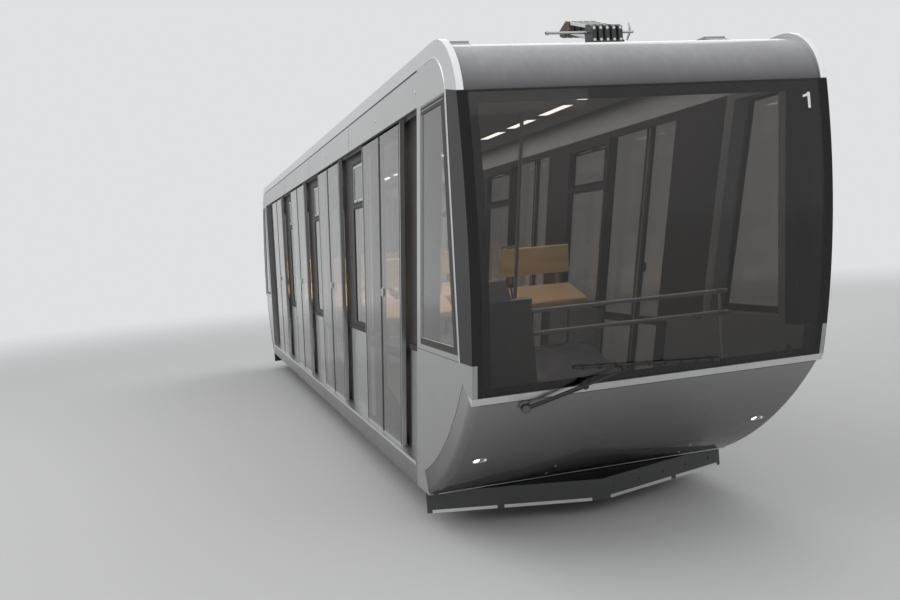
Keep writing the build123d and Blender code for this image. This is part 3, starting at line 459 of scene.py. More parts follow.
def makePaint(name, look):
    finish, tree, shader = newFinish(name)
    setInputs(shader, {"Metallic": look.get("metallic", 0.0), "Coat Weight": look.get("coat", 0.0),
                       "Coat Roughness": look.get("coatRoughness", 0.3),
                       "Specular IOR Level": look.get("specular", 0.5)})
    tint = noise(tree, objectPoint(tree), 0.8, 3.0)
    shade = tuple(v * 0.90 for v in look["colour"])
    colour = blendColour(tree, tint, look["colour"], shade)
    rough = mathNode(tree, "ADD", mathNode(tree, "MULTIPLY", tint, 0.08), look["roughness"] - 0.04)
    # road film, and on some finishes a painted reflection, blended over the colour
    if "film" in look:
        film = placeGroup(tree, "film", look["film"])
        colour = blendColour(tree, film, colour, look["filmColour"])
        rough = mathNode(tree, "ADD", rough, mathNode(tree, "MULTIPLY", film, 0.35), True)
    link(tree, colour, shader.inputs["Base Color"])
    link(tree, rough, shader.inputs["Roughness"])
    skin = "waves" if "waves" in look else "grain"
    setBump(tree, shader, placeGroup(tree, skin, {"Scale": look[skin]}), look["depth"])
    return finish


metalLooks = {
    "brightStrip": {"colour": (0.78, 0.785, 0.79), "dull": (0.55, 0.55, 0.55), "roughness": 0.31,
                    "stretch": (3.0, 700.0, 700.0), "depth": 0.00003},
    "railSteel": {"colour": (0.66, 0.66, 0.655), "dull": (0.50, 0.50, 0.50), "roughness": 0.31,
                  "stretch": (500.0, 3.0, 500.0), "depth": 0.00003},
    "doorEdge": {"colour": (0.60, 0.61, 0.61), "dull": (0.46, 0.46, 0.46), "roughness": 0.32,
                 "stretch": (600.0, 600.0, 4.0), "depth": 0.00003},
    "wheelSteel": {"colour": (0.42, 0.40, 0.38), "dull": (0.16, 0.125, 0.10), "roughness": 0.38,
                   "stretch": (60.0, 700.0, 60.0), "depth": 0.00006},
    "bareBolt": {"colour": (0.62, 0.62, 0.61), "dull": (0.36, 0.35, 0.34), "roughness": 0.32,
                 "stretch": (300.0, 300.0, 300.0), "depth": 0.00003},
    "shoeMetal": {"colour": (0.70, 0.70, 0.70), "dull": (0.42, 0.41, 0.40), "roughness": 0.32,
                  "stretch": (400.0, 6.0, 400.0), "depth": 0.00004},
}


def makeMetal(name, look):
    finish, tree, shader = newFinish(name)
    setInputs(shader, {"Metallic": 1.0})
    marks = placeGroup(tree, "brush", {"Stretch": look["stretch"]})
    worn = placeGroup(tree, "worn", {"Scale": 7.0, "Edge": 0.56, "Amount": 0.35})
    brushed = blendColour(tree, marks, look["colour"], tuple(v * 0.86 for v in look["colour"]))
    link(tree, blendColour(tree, worn, brushed, look["dull"]), shader.inputs["Base Color"])
    rough = mathNode(tree, "ADD", mathNode(tree, "MULTIPLY", marks, 0.14), look["roughness"] - 0.05)
    rough = mathNode(tree, "ADD", rough, mathNode(tree, "MULTIPLY", worn, 0.14), True)
    link(tree, rough, shader.inputs["Roughness"])
    setBump(tree, shader, marks, look["depth"])
    return finish


glassLooks = {
    "frontGlass": {"tint": (0.235, 0.222, 0.215), "shadow": (0.22, 0.21, 0.20), "roughness": 0.012},
    "doorGlass": {"tint": (0.43, 0.42, 0.405), "shadow": (0.42, 0.41, 0.40), "roughness": 0.015},
    "lampGlass": {"tint": (0.95, 0.97, 1.0), "shadow": (0.92, 0.94, 0.97), "roughness": 0.02},
}


def makeGlass(name, look):
    finish, tree, shader = newFinish(name)
    setInputs(shader, {"Base Color": (*look["tint"], 1.0), "Transmission Weight": 1.0, "IOR": 1.47})
    smear = placeGroup(tree, "grain", {"Scale": 5.0})
    link(tree, mathNode(tree, "MULTIPLY", smear, look["roughness"] * 2), shader.inputs["Roughness"])
    setBump(tree, shader, placeGroup(tree, "waves", {"Scale": 1.3}), 0.0008)
    clear = addNode(tree, "ShaderNodeBsdfTransparent", "lets the lamps through")
    setInputs(clear, {"Color": (*look["shadow"], 1.0)})
    path = addNode(tree, "ShaderNodeLightPath")
    mixShaders(tree, path.outputs["Is Shadow Ray"], shader.outputs[0], clear.outputs[0], "Material Output")
    return finish


woodLook = {
    "pale": (0.70, 0.49, 0.27),
    "dark": (0.52, 0.33, 0.165),
    "rings": 4.0,
    "stretch": (2.0, 0.32, 2.0),
}


def makeBenchWood(name, look):
    finish, tree, shader = newFinish(name)
    rings = addNode(tree, "ShaderNodeTexWave", wave_type="BANDS", bands_direction="X")
    setInputs(rings, {"Scale": look["rings"], "Distortion": 7.0, "Detail": 3.0})
    link(tree, objectPoint(tree, fixedVector(tree, look["stretch"])), rings.inputs["Vector"])
    pores = placeGroup(tree, "brush", {"Stretch": (240.0, 14.0, 240.0)})
    mask = mathNode(tree, "MULTIPLY", rings.outputs["Fac"], mathNode(tree, "ADD", pores, 0.25), True)
    link(tree, blendColour(tree, mask, look["pale"], look["dark"]), shader.inputs["Base Color"])
    rough = mathNode(tree, "ADD", mathNode(tree, "MULTIPLY", pores, 0.16), 0.30)
    link(tree, rough, shader.inputs["Roughness"])
    setInputs(shader, {"Coat Weight": 0.35, "Coat Roughness": 0.15})
    setBump(tree, shader, pores, 0.0002)
    return finish


rubberLook = {"colour": (0.105, 0.105, 0.11), "scuff": (0.22, 0.215, 0.21), "studs": 34.0}


def makeFloorRubber(name, look):
    finish, tree, shader = newFinish(name)
    worn = placeGroup(tree, "worn", {"Scale": 4.0, "Edge": 0.5, "Amount": 0.6})
    link(tree, blendColour(tree, worn, look["colour"], look["scuff"]), shader.inputs["Base Color"])
    studs = addNode(tree, "ShaderNodeTexVoronoi", feature="F1")
    setInputs(studs, {"Scale": look["studs"], "Randomness": 0.0})
    link(tree, objectPoint(tree), studs.inputs["Vector"])
    setBump(tree, shader, mathNode(tree, "SUBTRACT", 0.42, studs.outputs["Distance"], True), 0.004, 0.8)
    setInputs(shader, {"Roughness": 0.6})
    return finish


glowLooks = {
    "lampGlow": {"colour": (0.86, 0.93, 1.0), "strength": 22.0},
    "ceilingGlow": {"colour": (1.0, 0.98, 0.94), "strength": 5.0},
    "screenGlow": {"colour": (0.10, 0.16, 0.20), "strength": 0.35},
}


def makeGlow(name, look):
    finish, tree, shader = newFinish(name)
    spread = placeGroup(tree, "grain", {"Scale": 160.0})
    dim = tuple(v * 0.8 for v in look["colour"])
    link(tree, blendColour(tree, spread, look["colour"], dim), shader.inputs["Emission Color"])
    setInputs(shader, {"Base Color": (*look["colour"], 1.0), "Emission Strength": look["strength"],
                       "Roughness": 0.3})
    return finish


finishes = {}
finishes["benchWood"] = makeBenchWood("benchWood", woodLook)
finishes["floorRubber"] = makeFloorRubber("floorRubber", rubberLook)
for make, looks in ((makePaint, paintLooks), (makeMetal, metalLooks), (makeGlass, glassLooks),
                    (makeGlow, glowLooks)):
    finishes.update({name: make(name, look) for name, look in looks.items()})

nodeFinishes = {
    "roof_edges": "paleArch", "roof_skin": "roofPaint", "roof_headers": "headerGloss",
    "corner_panels": "silverBody", "corner_pillars": "pillarBlack", "nose_strips": "brightStrip",
    "windshields": "frontGlass", "end_skins": "noseSilver", "fascias": "fasciaPaint",
    "cant_rails": "postBlack", "door_posts": "postBlack", "bay_panels": "silverBody",
    "bay_frames": "postBlack", "side_windows": "doorGlass", "sill_strips": "brightStrip",
    "skirts": "skirtSilver", "floor": "floorRubber", "stringers": "framePaint",
    "underframe": "framePaint", "bogie_uphill": "framePaint", "bogie_downhill": "framePaint",
    "benches": "benchWood", "handrails": "railSteel", "end_rails": "barSilver", "desks": "deskPaint",
    "wipers": "wiperBlack", "ploughs": "ploughPaint", "rope_anchors": "framePaint",
    "rail_brakes": "framePaint", "collector": "collectorPaint", "roof_ducts": "roofPaint",
    "headlamps": "lampGlass",
}


def dressNodes():
    for name, node in nodes.items():
        key = nodeFinishes.get(name)
        if key is None:
            key = "wheelSteel" if name.startswith("wheelset") else "doorGlass"
        node.data.materials.clear()
        node.data.materials.append(finishes[key])


dressNodes()
print("stage: finishes on the nodes")


# Mesh helpers: each adds to an open bmesh
def addPrism(bm, outline, yLow, yHigh):  # a side-view outline of (x, z) points, filled between two planes
    low = [bm.verts.new((x, yLow, z)) for x, z in outline]
    high = [bm.verts.new((x, yHigh, z)) for x, z in outline]
    bm.faces.new(low)
    bm.faces.new(high[::-1])
    for i in range(len(low)):
        bm.faces.new((low[i - 1], high[i - 1], high[i], low[i]))


def addBlock(bm, low, high):
    (x0, y0, z0), (x1, y1, z1) = low, high
    addPrism(bm, [(x0, z0), (x1, z0), (x1, z1), (x0, z1)], y0, y1)


def addRod(bm, start, end, radius, sides=12):
    a, b = Vector(start), Vector(end)
    turn = (b - a).to_track_quat("Z", "Y").to_matrix().to_4x4()
    bmesh.ops.create_cone(bm, cap_ends=True, segments=sides, radius1=radius, radius2=radius,
                          depth=(b - a).length, matrix=Matrix.Translation((a + b) / 2) @ turn)


def joinRings(bm, rings):
    for near, far in zip(rings, rings[1:]):
        for i in range(len(near)):
            bm.faces.new((near[i - 1], near[i], far[i], far[i - 1]))


def closeRings(bm, rings):  # joins the rings and caps both ends
    joinRings(bm, rings)
    bm.faces.new(rings[0][::-1])
    bm.faces.new(rings[-1])


def addLathe(bm, profile, centre, axis, sides=24):  # profile of (radius, distance along the axis)
    turn = Vector(axis).to_track_quat("Z", "Y").to_matrix()
    turns = [2 * math.pi * i / sides for i in range(sides)]
    rings = []
    for radius, along in profile:
        places = [turn @ Vector((radius * math.cos(a), radius * math.sin(a), along)) for a in turns]
        rings.append([bm.verts.new(Vector(centre) + place) for place in places])
    closeRings(bm, rings)


def addTube(bm, points, radius, sides=10):
    for start, end in zip(points, points[1:]):
        addRod(bm, start, end, radius, sides)
    for point in points[1:-1]:
        bmesh.ops.create_icosphere(bm, subdivisions=2, radius=radius, matrix=Matrix.Translation(point))


def addFrame(bm, outer, inner, yLow, yHigh):  # a closed band between two outlines
    loops = [[bm.verts.new((x, y, z)) for x, z in loop] for loop in (outer, inner) for y in (yLow, yHigh)]
    outLow, outHigh, inLow, inHigh = loops
    for i in range(len(outer)):
        j = (i + 1) % len(outer)
        bm.faces.new((outLow[i], outLow[j], outHigh[j], outHigh[i]))
        bm.faces.new((inLow[j], inLow[i], inHigh[i], inHigh[j]))
        bm.faces.new((outLow[j], outLow[i], inLow[i], inLow[j]))
        bm.faces.new((outHigh[i], outHigh[j], inHigh[j], inHigh[i]))


def insetOutline(outline, depth):  # moves each edge of a convex outline inwards
    area = sum(a[0] * b[1] - b[0] * a[1] for a, b in zip(outline, outline[1:] + outline[:1]))
    way = 1 if area > 0 else -1
    lines = []
    for a, b in zip(outline, outline[1:] + outline[:1]):
        dx, dz = b[0] - a[0], b[1] - a[1]
        length = math.hypot(dx, dz)
        nx, nz = -dz / length * way, dx / length * way
        lines.append((a[0] + nx * depth, a[1] + nz * depth, dx, dz))
    inner = []
    for (ax, az, adx, adz), (bx, bz, bdx, bdz) in zip(lines[-1:] + lines[:-1], lines):
        share = ((bx - ax) * bdz - (bz - az) * bdx) / (adx * bdz - adz * bdx)
        inner.append((ax + adx * share, az + adz * share))
    return inner


def roundOutline(outline, radius, steps=5):  # rounds the corners of a convex outline
    rounded = []
    for i, corner in enumerate(outline):
        a, b, c = Vector(outline[i - 1]), Vector(corner), Vector(outline[(i + 1) % len(outline)])
        start, end = (a - b).normalized(), (c - b).normalized()
        for k in range(steps + 1):
            t = k / steps
            curve = b + start * radius * (1 - t) ** 2 + end * radius * t ** 2
            rounded.append((curve.x, curve.y))
    return rounded


def addSweep(bm, stations, section):  # carries (across, out) points along (place, across, out) stations
    closeRings(bm, [[bm.verts.new(place + across * a + out * o) for a, o in section]
                    for place, across, out in stations])


def flatBar(width, low, high):
    return [(-width / 2, low), (width / 2, low), (width / 2, high), (-width / 2, high)]


def domeBar(width, low, high, steps=6):  # a moulding with a rounded face
    turns = [math.pi * i / steps for i in range(steps + 1)]
    arch = [(width / 2 * math.cos(a), high * math.sin(a)) for a in turns]
    return [(-width / 2, low), (width / 2, low)] + arch


def addBolt(bm, place, normal, radius, height):  # a washer under a hexagon head
    addLathe(bm, [(radius * 1.45, -0.002), (radius * 1.45, height * 0.22), (radius * 1.2, height * 0.3)],
             place, normal, 14)
    addLathe(bm, [(radius, height * 0.2), (radius, height * 0.9), (radius * 0.8, height)], place, normal, 6)


def addScrew(bm, place, normal, radius, height):  # a low domed head
    addLathe(bm, [(radius, -0.001), (radius, height * 0.35), (radius * 0.85, height * 0.75),
                  (radius * 0.45, height), (radius * 0.3, height * 0.7)], place, normal, 14)


def sideName(side):
    return "left" if side > 0 else "right"


def endName(end):
    return "uphill" if end > 0 else "downhill"


def cornerName(end, side):
    return f"{endName(end)}{sideName(side).capitalize()}"


def doorAt(number):
    return car["doorStart"] - number * car["doorPitch"]


def bandBetween(y, side):  # the two Y planes of a band given as distances from the middle plane
    return sorted((side * y[0], side * y[1]))


slotOf = {  # the usual material slot of each finish
    "brightStrip": "bright_strip", "whiteArch": "body_silver", "postBlack": "post_black",
    "sealRubber": "wiper_black", "doorEdge": "bright_strip", "bareBolt": "bright_strip",
    "glossBlack": "gloss_black", "whiteFilm": "body_silver", "railSteel": "rail_steel",
    "capGrey": "rail_steel", "lampGlow": "lamp_glass", "lampGlass": "lamp_glass",
    "ploughPaint": "frame_paint", "shoeMetal": "collector_metal", "carbonShoe": "collector_metal",
    "roofPaint": "roof_paint", "benchWood": "bench_wood", "ceilingPaint": "fascia_grey",
    "ceilingGlow": "lamp_glass", "deskPaint": "desk_grey", "wiperBlack": "wiper_black",
    "screenGlow": "lamp_glass", "wheelSteel": "wheel_steel", "framePaint": "frame_paint",
    "doorGlass": "door_glass",
}


def finishPiece(bm, name, finish, bevel=0.0, body="car", slotName=None):
    if slotName is None:
        slotName = slotOf[finish]
    mesh = bpy.data.meshes.new(name)
    bmesh.ops.recalc_face_normals(bm, faces=bm.faces)
    bm.to_mesh(mesh)
    bm.free()
    mesh.materials.append(finishes[finish])
    mesh.shade_smooth()
    mesh.set_sharp_from_angle(angle=math.radians(35.0))
    piece = bpy.data.objects.new(name, mesh)
    bpy.context.scene.collection.objects.link(piece)
    if bevel:
        rim = piece.modifiers.new("softEdge", "BEVEL")
        rim.width = bevel
        rim.segments = 2
        rim.limit_method = "ANGLE"
        rim.harden_normals = True
    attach(piece, body)
    return piece


# Door leaves: a thin bright edge, a black border, tinted glass, rubber seals, a belt rail and a handle
leafLook = {
    "outer": 1.135,
    "inner": 1.099,
    "glassThick": 0.008,
    "edgeWidth": 0.013,
    "borderWidth": 0.034,
    "gap": 0.005,
    "clear": 0.00035,
    "entry": 0.035,
    "beltHeight": 1.150,
    "beltHalf": 0.035,
    "sealWidth": 0.020,
    "handleHeight": 1.600,
    "handleLength": 0.080,
    "handleOff": 0.060,
}


def buildLeaf(number, side, upper, look):
    which = "upper" if upper else "lower"
    node = f"door_{sideName(side)}_{number + 1}_{which}"
    label = f"{sideName(side)}{number + 1}{which.capitalize()}"
    start, stop = doorAt(number), doorAt(number) - car["doorWidth"]
    centre, gap = (start + stop) / 2, look["gap"] / 2
    u0, u1 = (centre + gap, start) if upper else (stop, centre - gap)
    z0, z1 = car["sillTop"] + look["clear"], car["fasciaBottom"] + look["entry"]
    outline = leaning(u0, u1, z0, z1)
    edge = insetOutline(outline, look["edgeWidth"])
    pane = insetOutline(outline, look["edgeWidth"] + look["borderWidth"])
    outer, inner = look["outer"], look["inner"]
    glassInner = outer - look["glassThick"]

    bm = bmesh.new()
    addFrame(bm, outline, edge, *bandBetween((inner, outer), side))
    frameEdge = finishPiece(bm, f"leafEdge-{label}", "doorEdge", 0.002, node)
    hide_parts(node)

    bm = bmesh.new()  # the stiles behind the glass edge and the belt rail
    addFrame(bm, edge, pane, *bandBetween((inner + 0.002, glassInner - 0.0005), side))
    belt = car["railTop"] + look["beltHeight"]
    inset = look["edgeWidth"] + look["borderWidth"] - 0.002
    addPrism(bm, leaning(u0 + inset, u1 - inset, belt - look["beltHalf"], belt + look["beltHalf"]),
             *bandBetween((inner + 0.004, glassInner - 0.0005), side))
    finishPiece(bm, f"leafStiles-{label}", "postBlack", 0.001, node)

    bm = bmesh.new()
    addPrism(bm, insetOutline(outline, look["edgeWidth"] + 0.0005),
             *bandBetween((glassInner, outer - 0.0008), side))
    finishPiece(bm, f"leafGlass-{label}", "doorGlass", 0.0, node)

    bm = bmesh.new()  # rubber on the closing edge and the sliding edge
    nearU, farU, inwards = (u0, u1, 1) if upper else (u1, u0, -1)
    top = car["fasciaBottom"] - 0.002
    for u, first, last, proud in ((nearU, -0.0012, look["sealWidth"], 0.0012),
                                  (farU, -0.030, -0.016, 0.0006)):
        addPrism(bm, leaning(*sorted((u + inwards * first, u + inwards * last)), z0 + 0.004, top),
                 *bandBetween((outer - 0.0006, outer + proud), side))
    finishPiece(bm, f"leafSeals-{label}", "sealRubber", 0.0005, node)

    if upper:
        buildHandle(f"leafHandle-{label}", node, nearU + look["handleOff"], side, look)


def buildHandle(name, node, u, side, look):  # a short bright pull on a rounded plate
    z = car["railTop"] + look["handleHeight"]
    half = look["handleLength"] / 2
    y = look["outer"] * side
    bm = bmesh.new()
    plate = roundOutline(leaning(u - 0.019, u + 0.019, z - half, z + half), 0.016)
    addPrism(bm, plate, *bandBetween((look["outer"] - 0.001, look["outer"] + 0.004), side))
    low, high = [Vector((upright(u, end), y, end)) for end in (z - half * 0.6, z + half * 0.6)]
    out = yAxis * side * 0.013
    addTube(bm, [low, low + out, high + out, high], 0.0045)
    finishPiece(bm, name, "brightStrip", 0.0008, node, slotName="rail_steel")


for number in range(car["doorCount"]):
    for side in sides:
        for upper in (True, False):
            buildLeaf(number, side, upper, leafLook)
print("stage: door leaves")

# Both noses in side view, as the solids have them: the arch, the glass, the strip and the end skin
nose = {
    "archRise": 2.735,
    "overhang": {1: 0.825, -1: 0.582},
    "glassOut": 0.361,
    "glassDrop": 1.637,
    "glassBulge": 0.070,
    "stripBack": 0.011,
    "stripHeight": 0.048,
    "skinBack": {1: 0.484, -1: 0.300},
    "skinBulge": 0.087,
    "skinReturn": 0.170,
    "skirtRise": 0.243,
    "beltRise": 1.258,
    "edgeDepth": 0.082,
    "edgeWidth": 0.042,
    "edgeEnd": 0.195,
    "windowMargin": 0.095,
    "windowGap": 0.070,
    "pillarFront": 0.060,
}


def noseAt(end, out, up):  # a level distance out from the arch's end, and a plumb height above it
    z = car["railTop"] + nose["archRise"]
    x = upright(car["corner"][end], z) + end * nose["overhang"][end]
    run = end * out
    return Vector((x + run * car["cos"] + up * car["sin"], z - run * car["sin"] + up * car["cos"]))


def noseCurve(end, part):  # top, foot and bulge of the glass or of the end skin
    if part == "glass":
        return noseAt(end, 0.0, 0.0), noseAt(end, nose["glassOut"], -nose["glassDrop"]), nose["glassBulge"]
    back = nose["skinBack"][end]
    drop = nose["archRise"] - nose["skirtRise"] + end * back * car["sin"]
    return (noseAt(end, nose["glassOut"] - nose["stripBack"], -nose["glassDrop"] - nose["stripHeight"]),
            noseAt(end, -back, -drop / car["cos"]), nose["skinBulge"])


def noseCircle(end, part):
    top, foot, bulge = noseCurve(end, part)
    chord = foot - top
    out = Vector((-chord.y, chord.x)).normalized()
    if out.x * end < 0:
        out.negate()
    radius = (chord.length_squared / 4 + bulge ** 2) / (2 * bulge)
    return (top + foot) / 2 - out * (radius - bulge), radius


def nosePoint(end, part, z, off=0.0):  # place, tangent downwards and outward normal in side view
    centre, radius = noseCircle(end, part)
    rise = z - centre.y
    normal = Vector((end * math.sqrt(radius ** 2 - rise ** 2), rise)) / radius
    tangent = Vector((normal.y, -normal.x)) * end
    return centre + normal * (radius + off), tangent, normal


def lift(point, y):  # a side-view point or direction in the car's own axes
    return Vector((point[0], y, point[1]))


def noseStation(end, part, z, y, off=0.0):  # the same as nosePoint, in the car's own axes
    place, tangent, normal = nosePoint(end, part, z, off)
    return lift(place, y), lift(tangent, 0.0), lift(normal, 0.0)


def acrossNose(bm, end, part, z, y0, y1, section, inset=0.0):  # a trim across the nose at one height
    addSweep(bm, [noseStation(end, part, z, y, -inset) for y in (y0, y1)], section)


def downNose(bm, end, part, y, z0, z1, section, steps=14, inset=0.0):  # a trim that follows the nose down
    stations = [noseStation(end, part, z0 + (z1 - z0) * i / steps, y, -inset) for i in range(steps + 1)]
    addSweep(bm, [(place, yAxis, normal) for place, _, normal in stations], section)


def archTurn(end):
    half = math.hypot(nose["glassOut"], nose["glassDrop"]) / 2
    glassLean = math.atan(nose["glassOut"] / nose["glassDrop"]) + 2 * math.atan(nose["glassBulge"] / half)
    return math.pi / 2 + end * car["slope"] - glassLean


def archLine(end, depth, foot, back, steps=12):  # an arc of the roof edge, from the roof down to a height
    turn = archTurn(end)
    radius = (car["roofTop"] - depth - foot) / (1 - math.cos(turn))
    x = noseAt(end, 0.0, 0.0).x - end * (back + radius * math.sin(turn))
    turns = [turn * i / steps for i in range(steps + 1)]
    z = car["roofTop"] - depth - radius
    return [(x + end * radius * math.sin(t), z + radius * math.cos(t)) for t in turns]


def innerArch(end):
    return archLine(end, nose["edgeDepth"], car["fasciaBottom"], nose["edgeEnd"])


def outerArch(end):
    return archLine(end, 0.0, car["railTop"] + nose["archRise"], 0.0)


def stripeX(end, z):  # the seam between the corner window's panel and the black pillar
    archEnd, glassFoot = noseAt(end, 0.0, 0.0), noseAt(end, nose["glassOut"], -nose["glassDrop"])
    run = (glassFoot.x - archEnd.x) / (archEnd.y - glassFoot.y)
    return archEnd.x - end * nose["edgeEnd"] + (car["fasciaBottom"] - z) * run


def addSideLine(bm, path, side, section, plane=None):  # a trim along (x, z) points on a side face
    y = side * (car["sidePlane"] if plane is None else plane)
    stations = []
    for i in range(len(path)):
        along = (Vector(path[min(i + 1, len(path) - 1)]) - Vector(path[max(i - 1, 0)])).normalized()
        stations.append((lift(path[i], y), Vector((-along.y, 0.0, along.x)), yAxis * side))
    addSweep(bm, stations, section)


# Trims of the roof edges and the corner windows
cornerLook = {
    "lineWidth": 0.011,
    "lineProud": 0.004,
    "lineStart": 0.160,  # how far the bright line runs back along the roof from the arch
    "frontProud": 0.0015,
    "frontLift": 0.0010,
    "frontRim": 0.002,
    "darkNear": 0.034,
    "darkRim": 0.026,
    "darkRimOut": 0.036,
    "darkFoot": 0.042,
    "darkHead": 0.018,
    "darkHeadOut": 0.032,
    "proud": 0.0018,
    "sealWidth": 0.004,
}


def windowOutline(end, near, rim, foot, head):  # the corner window's opening, moved in by four distances
    edge = car["corner"][end]
    z0 = car["railTop"] + nose["beltRise"] + 0.040 + foot
    z1 = car["fasciaBottom"] - 0.045 - head

    def nearX(z):
        return upright(edge, z) + end * (nose["windowMargin"] + near)

    def rimX(z):
        return stripeX(end, z) - end * (nose["windowGap"] + rim)

    return [(nearX(z0), z0), (rimX(z0), z0), (rimX(z1), z1), (nearX(z1), z1)]


def buildCorner(end, side, look):
    label = cornerName(end, side)
    plane = car["sidePlane"]
    belt = car["railTop"] + nose["beltRise"]

    bm = bmesh.new()  # the bright line round the inner edge of the arch, and on down the stripe
    arc = innerArch(end)
    start = [(arc[0][0] - end * look["lineStart"], arc[0][1])]
    stripe = [(stripeX(end, z), z) for z in (car["fasciaBottom"], belt)]
    addSideLine(bm, start + arc[:-1] + stripe, side, domeBar(look["lineWidth"], -0.001, look["lineProud"]))
    finishPiece(bm, f"archLine-{label}", "brightStrip")

    bm = bmesh.new()  # the white front face of the roof edge
    stations = []
    arc = outerArch(end)
    for i, point in enumerate(arc):
        turn = archTurn(end) * i / (len(arc) - 1)
        out = Vector((end * math.sin(turn), 0.0, math.cos(turn)))
        place = lift(point, side * (plane - nose["edgeWidth"] / 2)) + out * look["frontLift"]
        stations.append((place, yAxis, out))
    addSweep(bm, stations, domeBar(nose["edgeWidth"] - look["frontRim"], -0.003, look["frontProud"], 4))
    finishPiece(bm, f"archFront-{label}", "whiteArch")

    bm = bmesh.new()  # dark frame round the corner window
    outer = windowOutline(end, 0.0, -look["darkRimOut"], -0.003, -look["darkHeadOut"])
    inner = windowOutline(end, look["darkNear"], look["darkRim"], look["darkFoot"], look["darkHead"])
    addFrame(bm, outer, inner, *bandBetween((plane - 0.004, plane + look["proud"]), side))
    finishPiece(bm, f"cornerFrame-{label}", "postBlack", 0.0008)

    bm = bmesh.new()  # thin metal lines along the glass: at its foot, beside the jamb and over its head
    addSideLine(bm, inner[:2], side, domeBar(look["sealWidth"], -0.002, 0.0035))
    addSideLine(bm, [inner[0], inner[3]], side, domeBar(look["sealWidth"], -0.002, 0.0030))
    for rise in (0.004, 0.026):
        head = windowOutline(end, 0.004, -look["darkRimOut"] + 0.006, 0.0, -rise)
        addSideLine(bm, [head[3], head[2]], side, domeBar(look["sealWidth"], 0.0, 0.0032))
    finishPiece(bm, f"cornerSeals-{label}", "brightStrip")

    bm = bmesh.new()  # shadow gap where the end skin meets the side panel, and under the belt
    top, foot = car["railTop"] + nose["beltRise"] - 0.235, car["railTop"] + nose["skirtRise"] + 0.004
    gap = flatBar(0.0035, -0.001, 0.0006)
    path = [nosePoint(end, "skin", top + (foot - top) * i / 14, -nose["skinReturn"])[0] for i in range(15)]
    addSideLine(bm, path, side, gap)
    beltLine = [(upright(car["corner"][end], belt) + end * 0.004, belt), (stripeX(end, belt), belt)]
    addSideLine(bm, beltLine, side, gap)
    finishPiece(bm, f"skinGap-{label}", "sealRubber")


for end in ends:
    for side in sides:
        buildCorner(end, side, cornerLook)
print("stage: roof edges and corner windows")

# Bays between the doors: gaskets, tilting upper windows, black caps on the silver panels
bayLook = {
    "border": 0.290,
    "frame": 0.040,
    "transomRise": 2.330,
    "headDrop": 0.055,
    "gasketOut": 0.012,
    "gasketIn": 0.010,
    "gasketProud": 0.003,
    "sashWidth": 0.022,
    "capLow": 0.034,
    "capHigh": 0.010,
    "capProud": 0.013,
    "latch": (0.060, 0.016),
    "latchSpread": 0.18,
    "latchCorner": 0.006,
}


def bayEdges(number):
    width = car["bayWidth"] if number < car["doorCount"] - 1 else car["lastBayWidth"]
    high = doorAt(number) - car["doorWidth"]
    return high - width, high


def buildCap(name, u0, u1, side, look):
    z, wall = car["baySill"], car["wallOuter"]
    bm = bmesh.new()
    addPrism(bm, leaning(u0, u1, z - look["capLow"], z + look["capHigh"]),
             *bandBetween((wall - 0.003, wall + look["capProud"]), side))
    finishPiece(bm, name, "sealRubber", 0.005)


def buildBay(number, side, look):
    label = f"{sideName(side)}{number + 1}"
    low, high = bayEdges(number)
    border = look["border"] if number < car["doorCount"] - 1 else look["frame"]
    transom = car["railTop"] + look["transomRise"]
    wall = car["wallOuter"]
    heights = ((car["baySill"] + look["frame"], transom - look["frame"] / 2),
               (transom + look["frame"] / 2, car["fasciaBottom"] - look["headDrop"] - look["frame"]))
    outlines = [leaning(low + border, high - look["frame"], z0, z1) for z0, z1 in heights]

    bm = bmesh.new()
    for outline in outlines:
        addFrame(bm, insetOutline(outline, -look["gasketOut"]), insetOutline(outline, look["gasketIn"]),
                 *bandBetween((wall - 0.0035, wall + look["gasketProud"]), side))
    finishPiece(bm, f"bayGasket-{label}", "sealRubber", 0.0012)

    bm = bmesh.new()  # the tilting upper window's own metal sash and its two latches
    sash = insetOutline(outlines[1], look["gasketIn"])
    addFrame(bm, sash, insetOutline(sash, look["sashWidth"]),
             *bandBetween((wall - 0.0030, wall + 0.0015), side))
    length, width = look["latch"]
    middle = (low + border + high - look["frame"]) / 2
    for u in (middle - look["latchSpread"], middle + look["latchSpread"]):
        z = heights[1][0] + look["gasketIn"] + look["sashWidth"] / 2
        latch = leaning(u - length / 2, u + length / 2, z - width / 2, z + width / 2)
        addPrism(bm, roundOutline(latch, look["latchCorner"]), *bandBetween((wall, wall + 0.007), side))
    finishPiece(bm, f"baySash-{label}", "doorEdge", 0.0008)

    buildCap(f"bayCap-{label}", low + 0.002, high + car["jamb"], side, look)


for side in sides:
    for number in range(car["doorCount"]):
        buildBay(number, side, bayLook)
    start, stop = car["doorStart"] + car["endPost"], car["corner"][1] - 0.001
    buildCap(f"endCap-{sideName(side)}", start, stop, side, bayLook)
print("stage: bays")

# Fascia: screws along its middle, a shadow groove under the roof edge, seams and a brush strip
fasciaLook = {
    "screwHeight": 2.894,
    "firstScrew": 5.293,
    "screwPitch": 1.168,
    "screwCount": 10,
    "screwRadius": 0.011,
    "grooveStart": 5.372,
    "grooveWidth": 0.010,
    "seams": 3,
    "seamBack": 0.450,
}


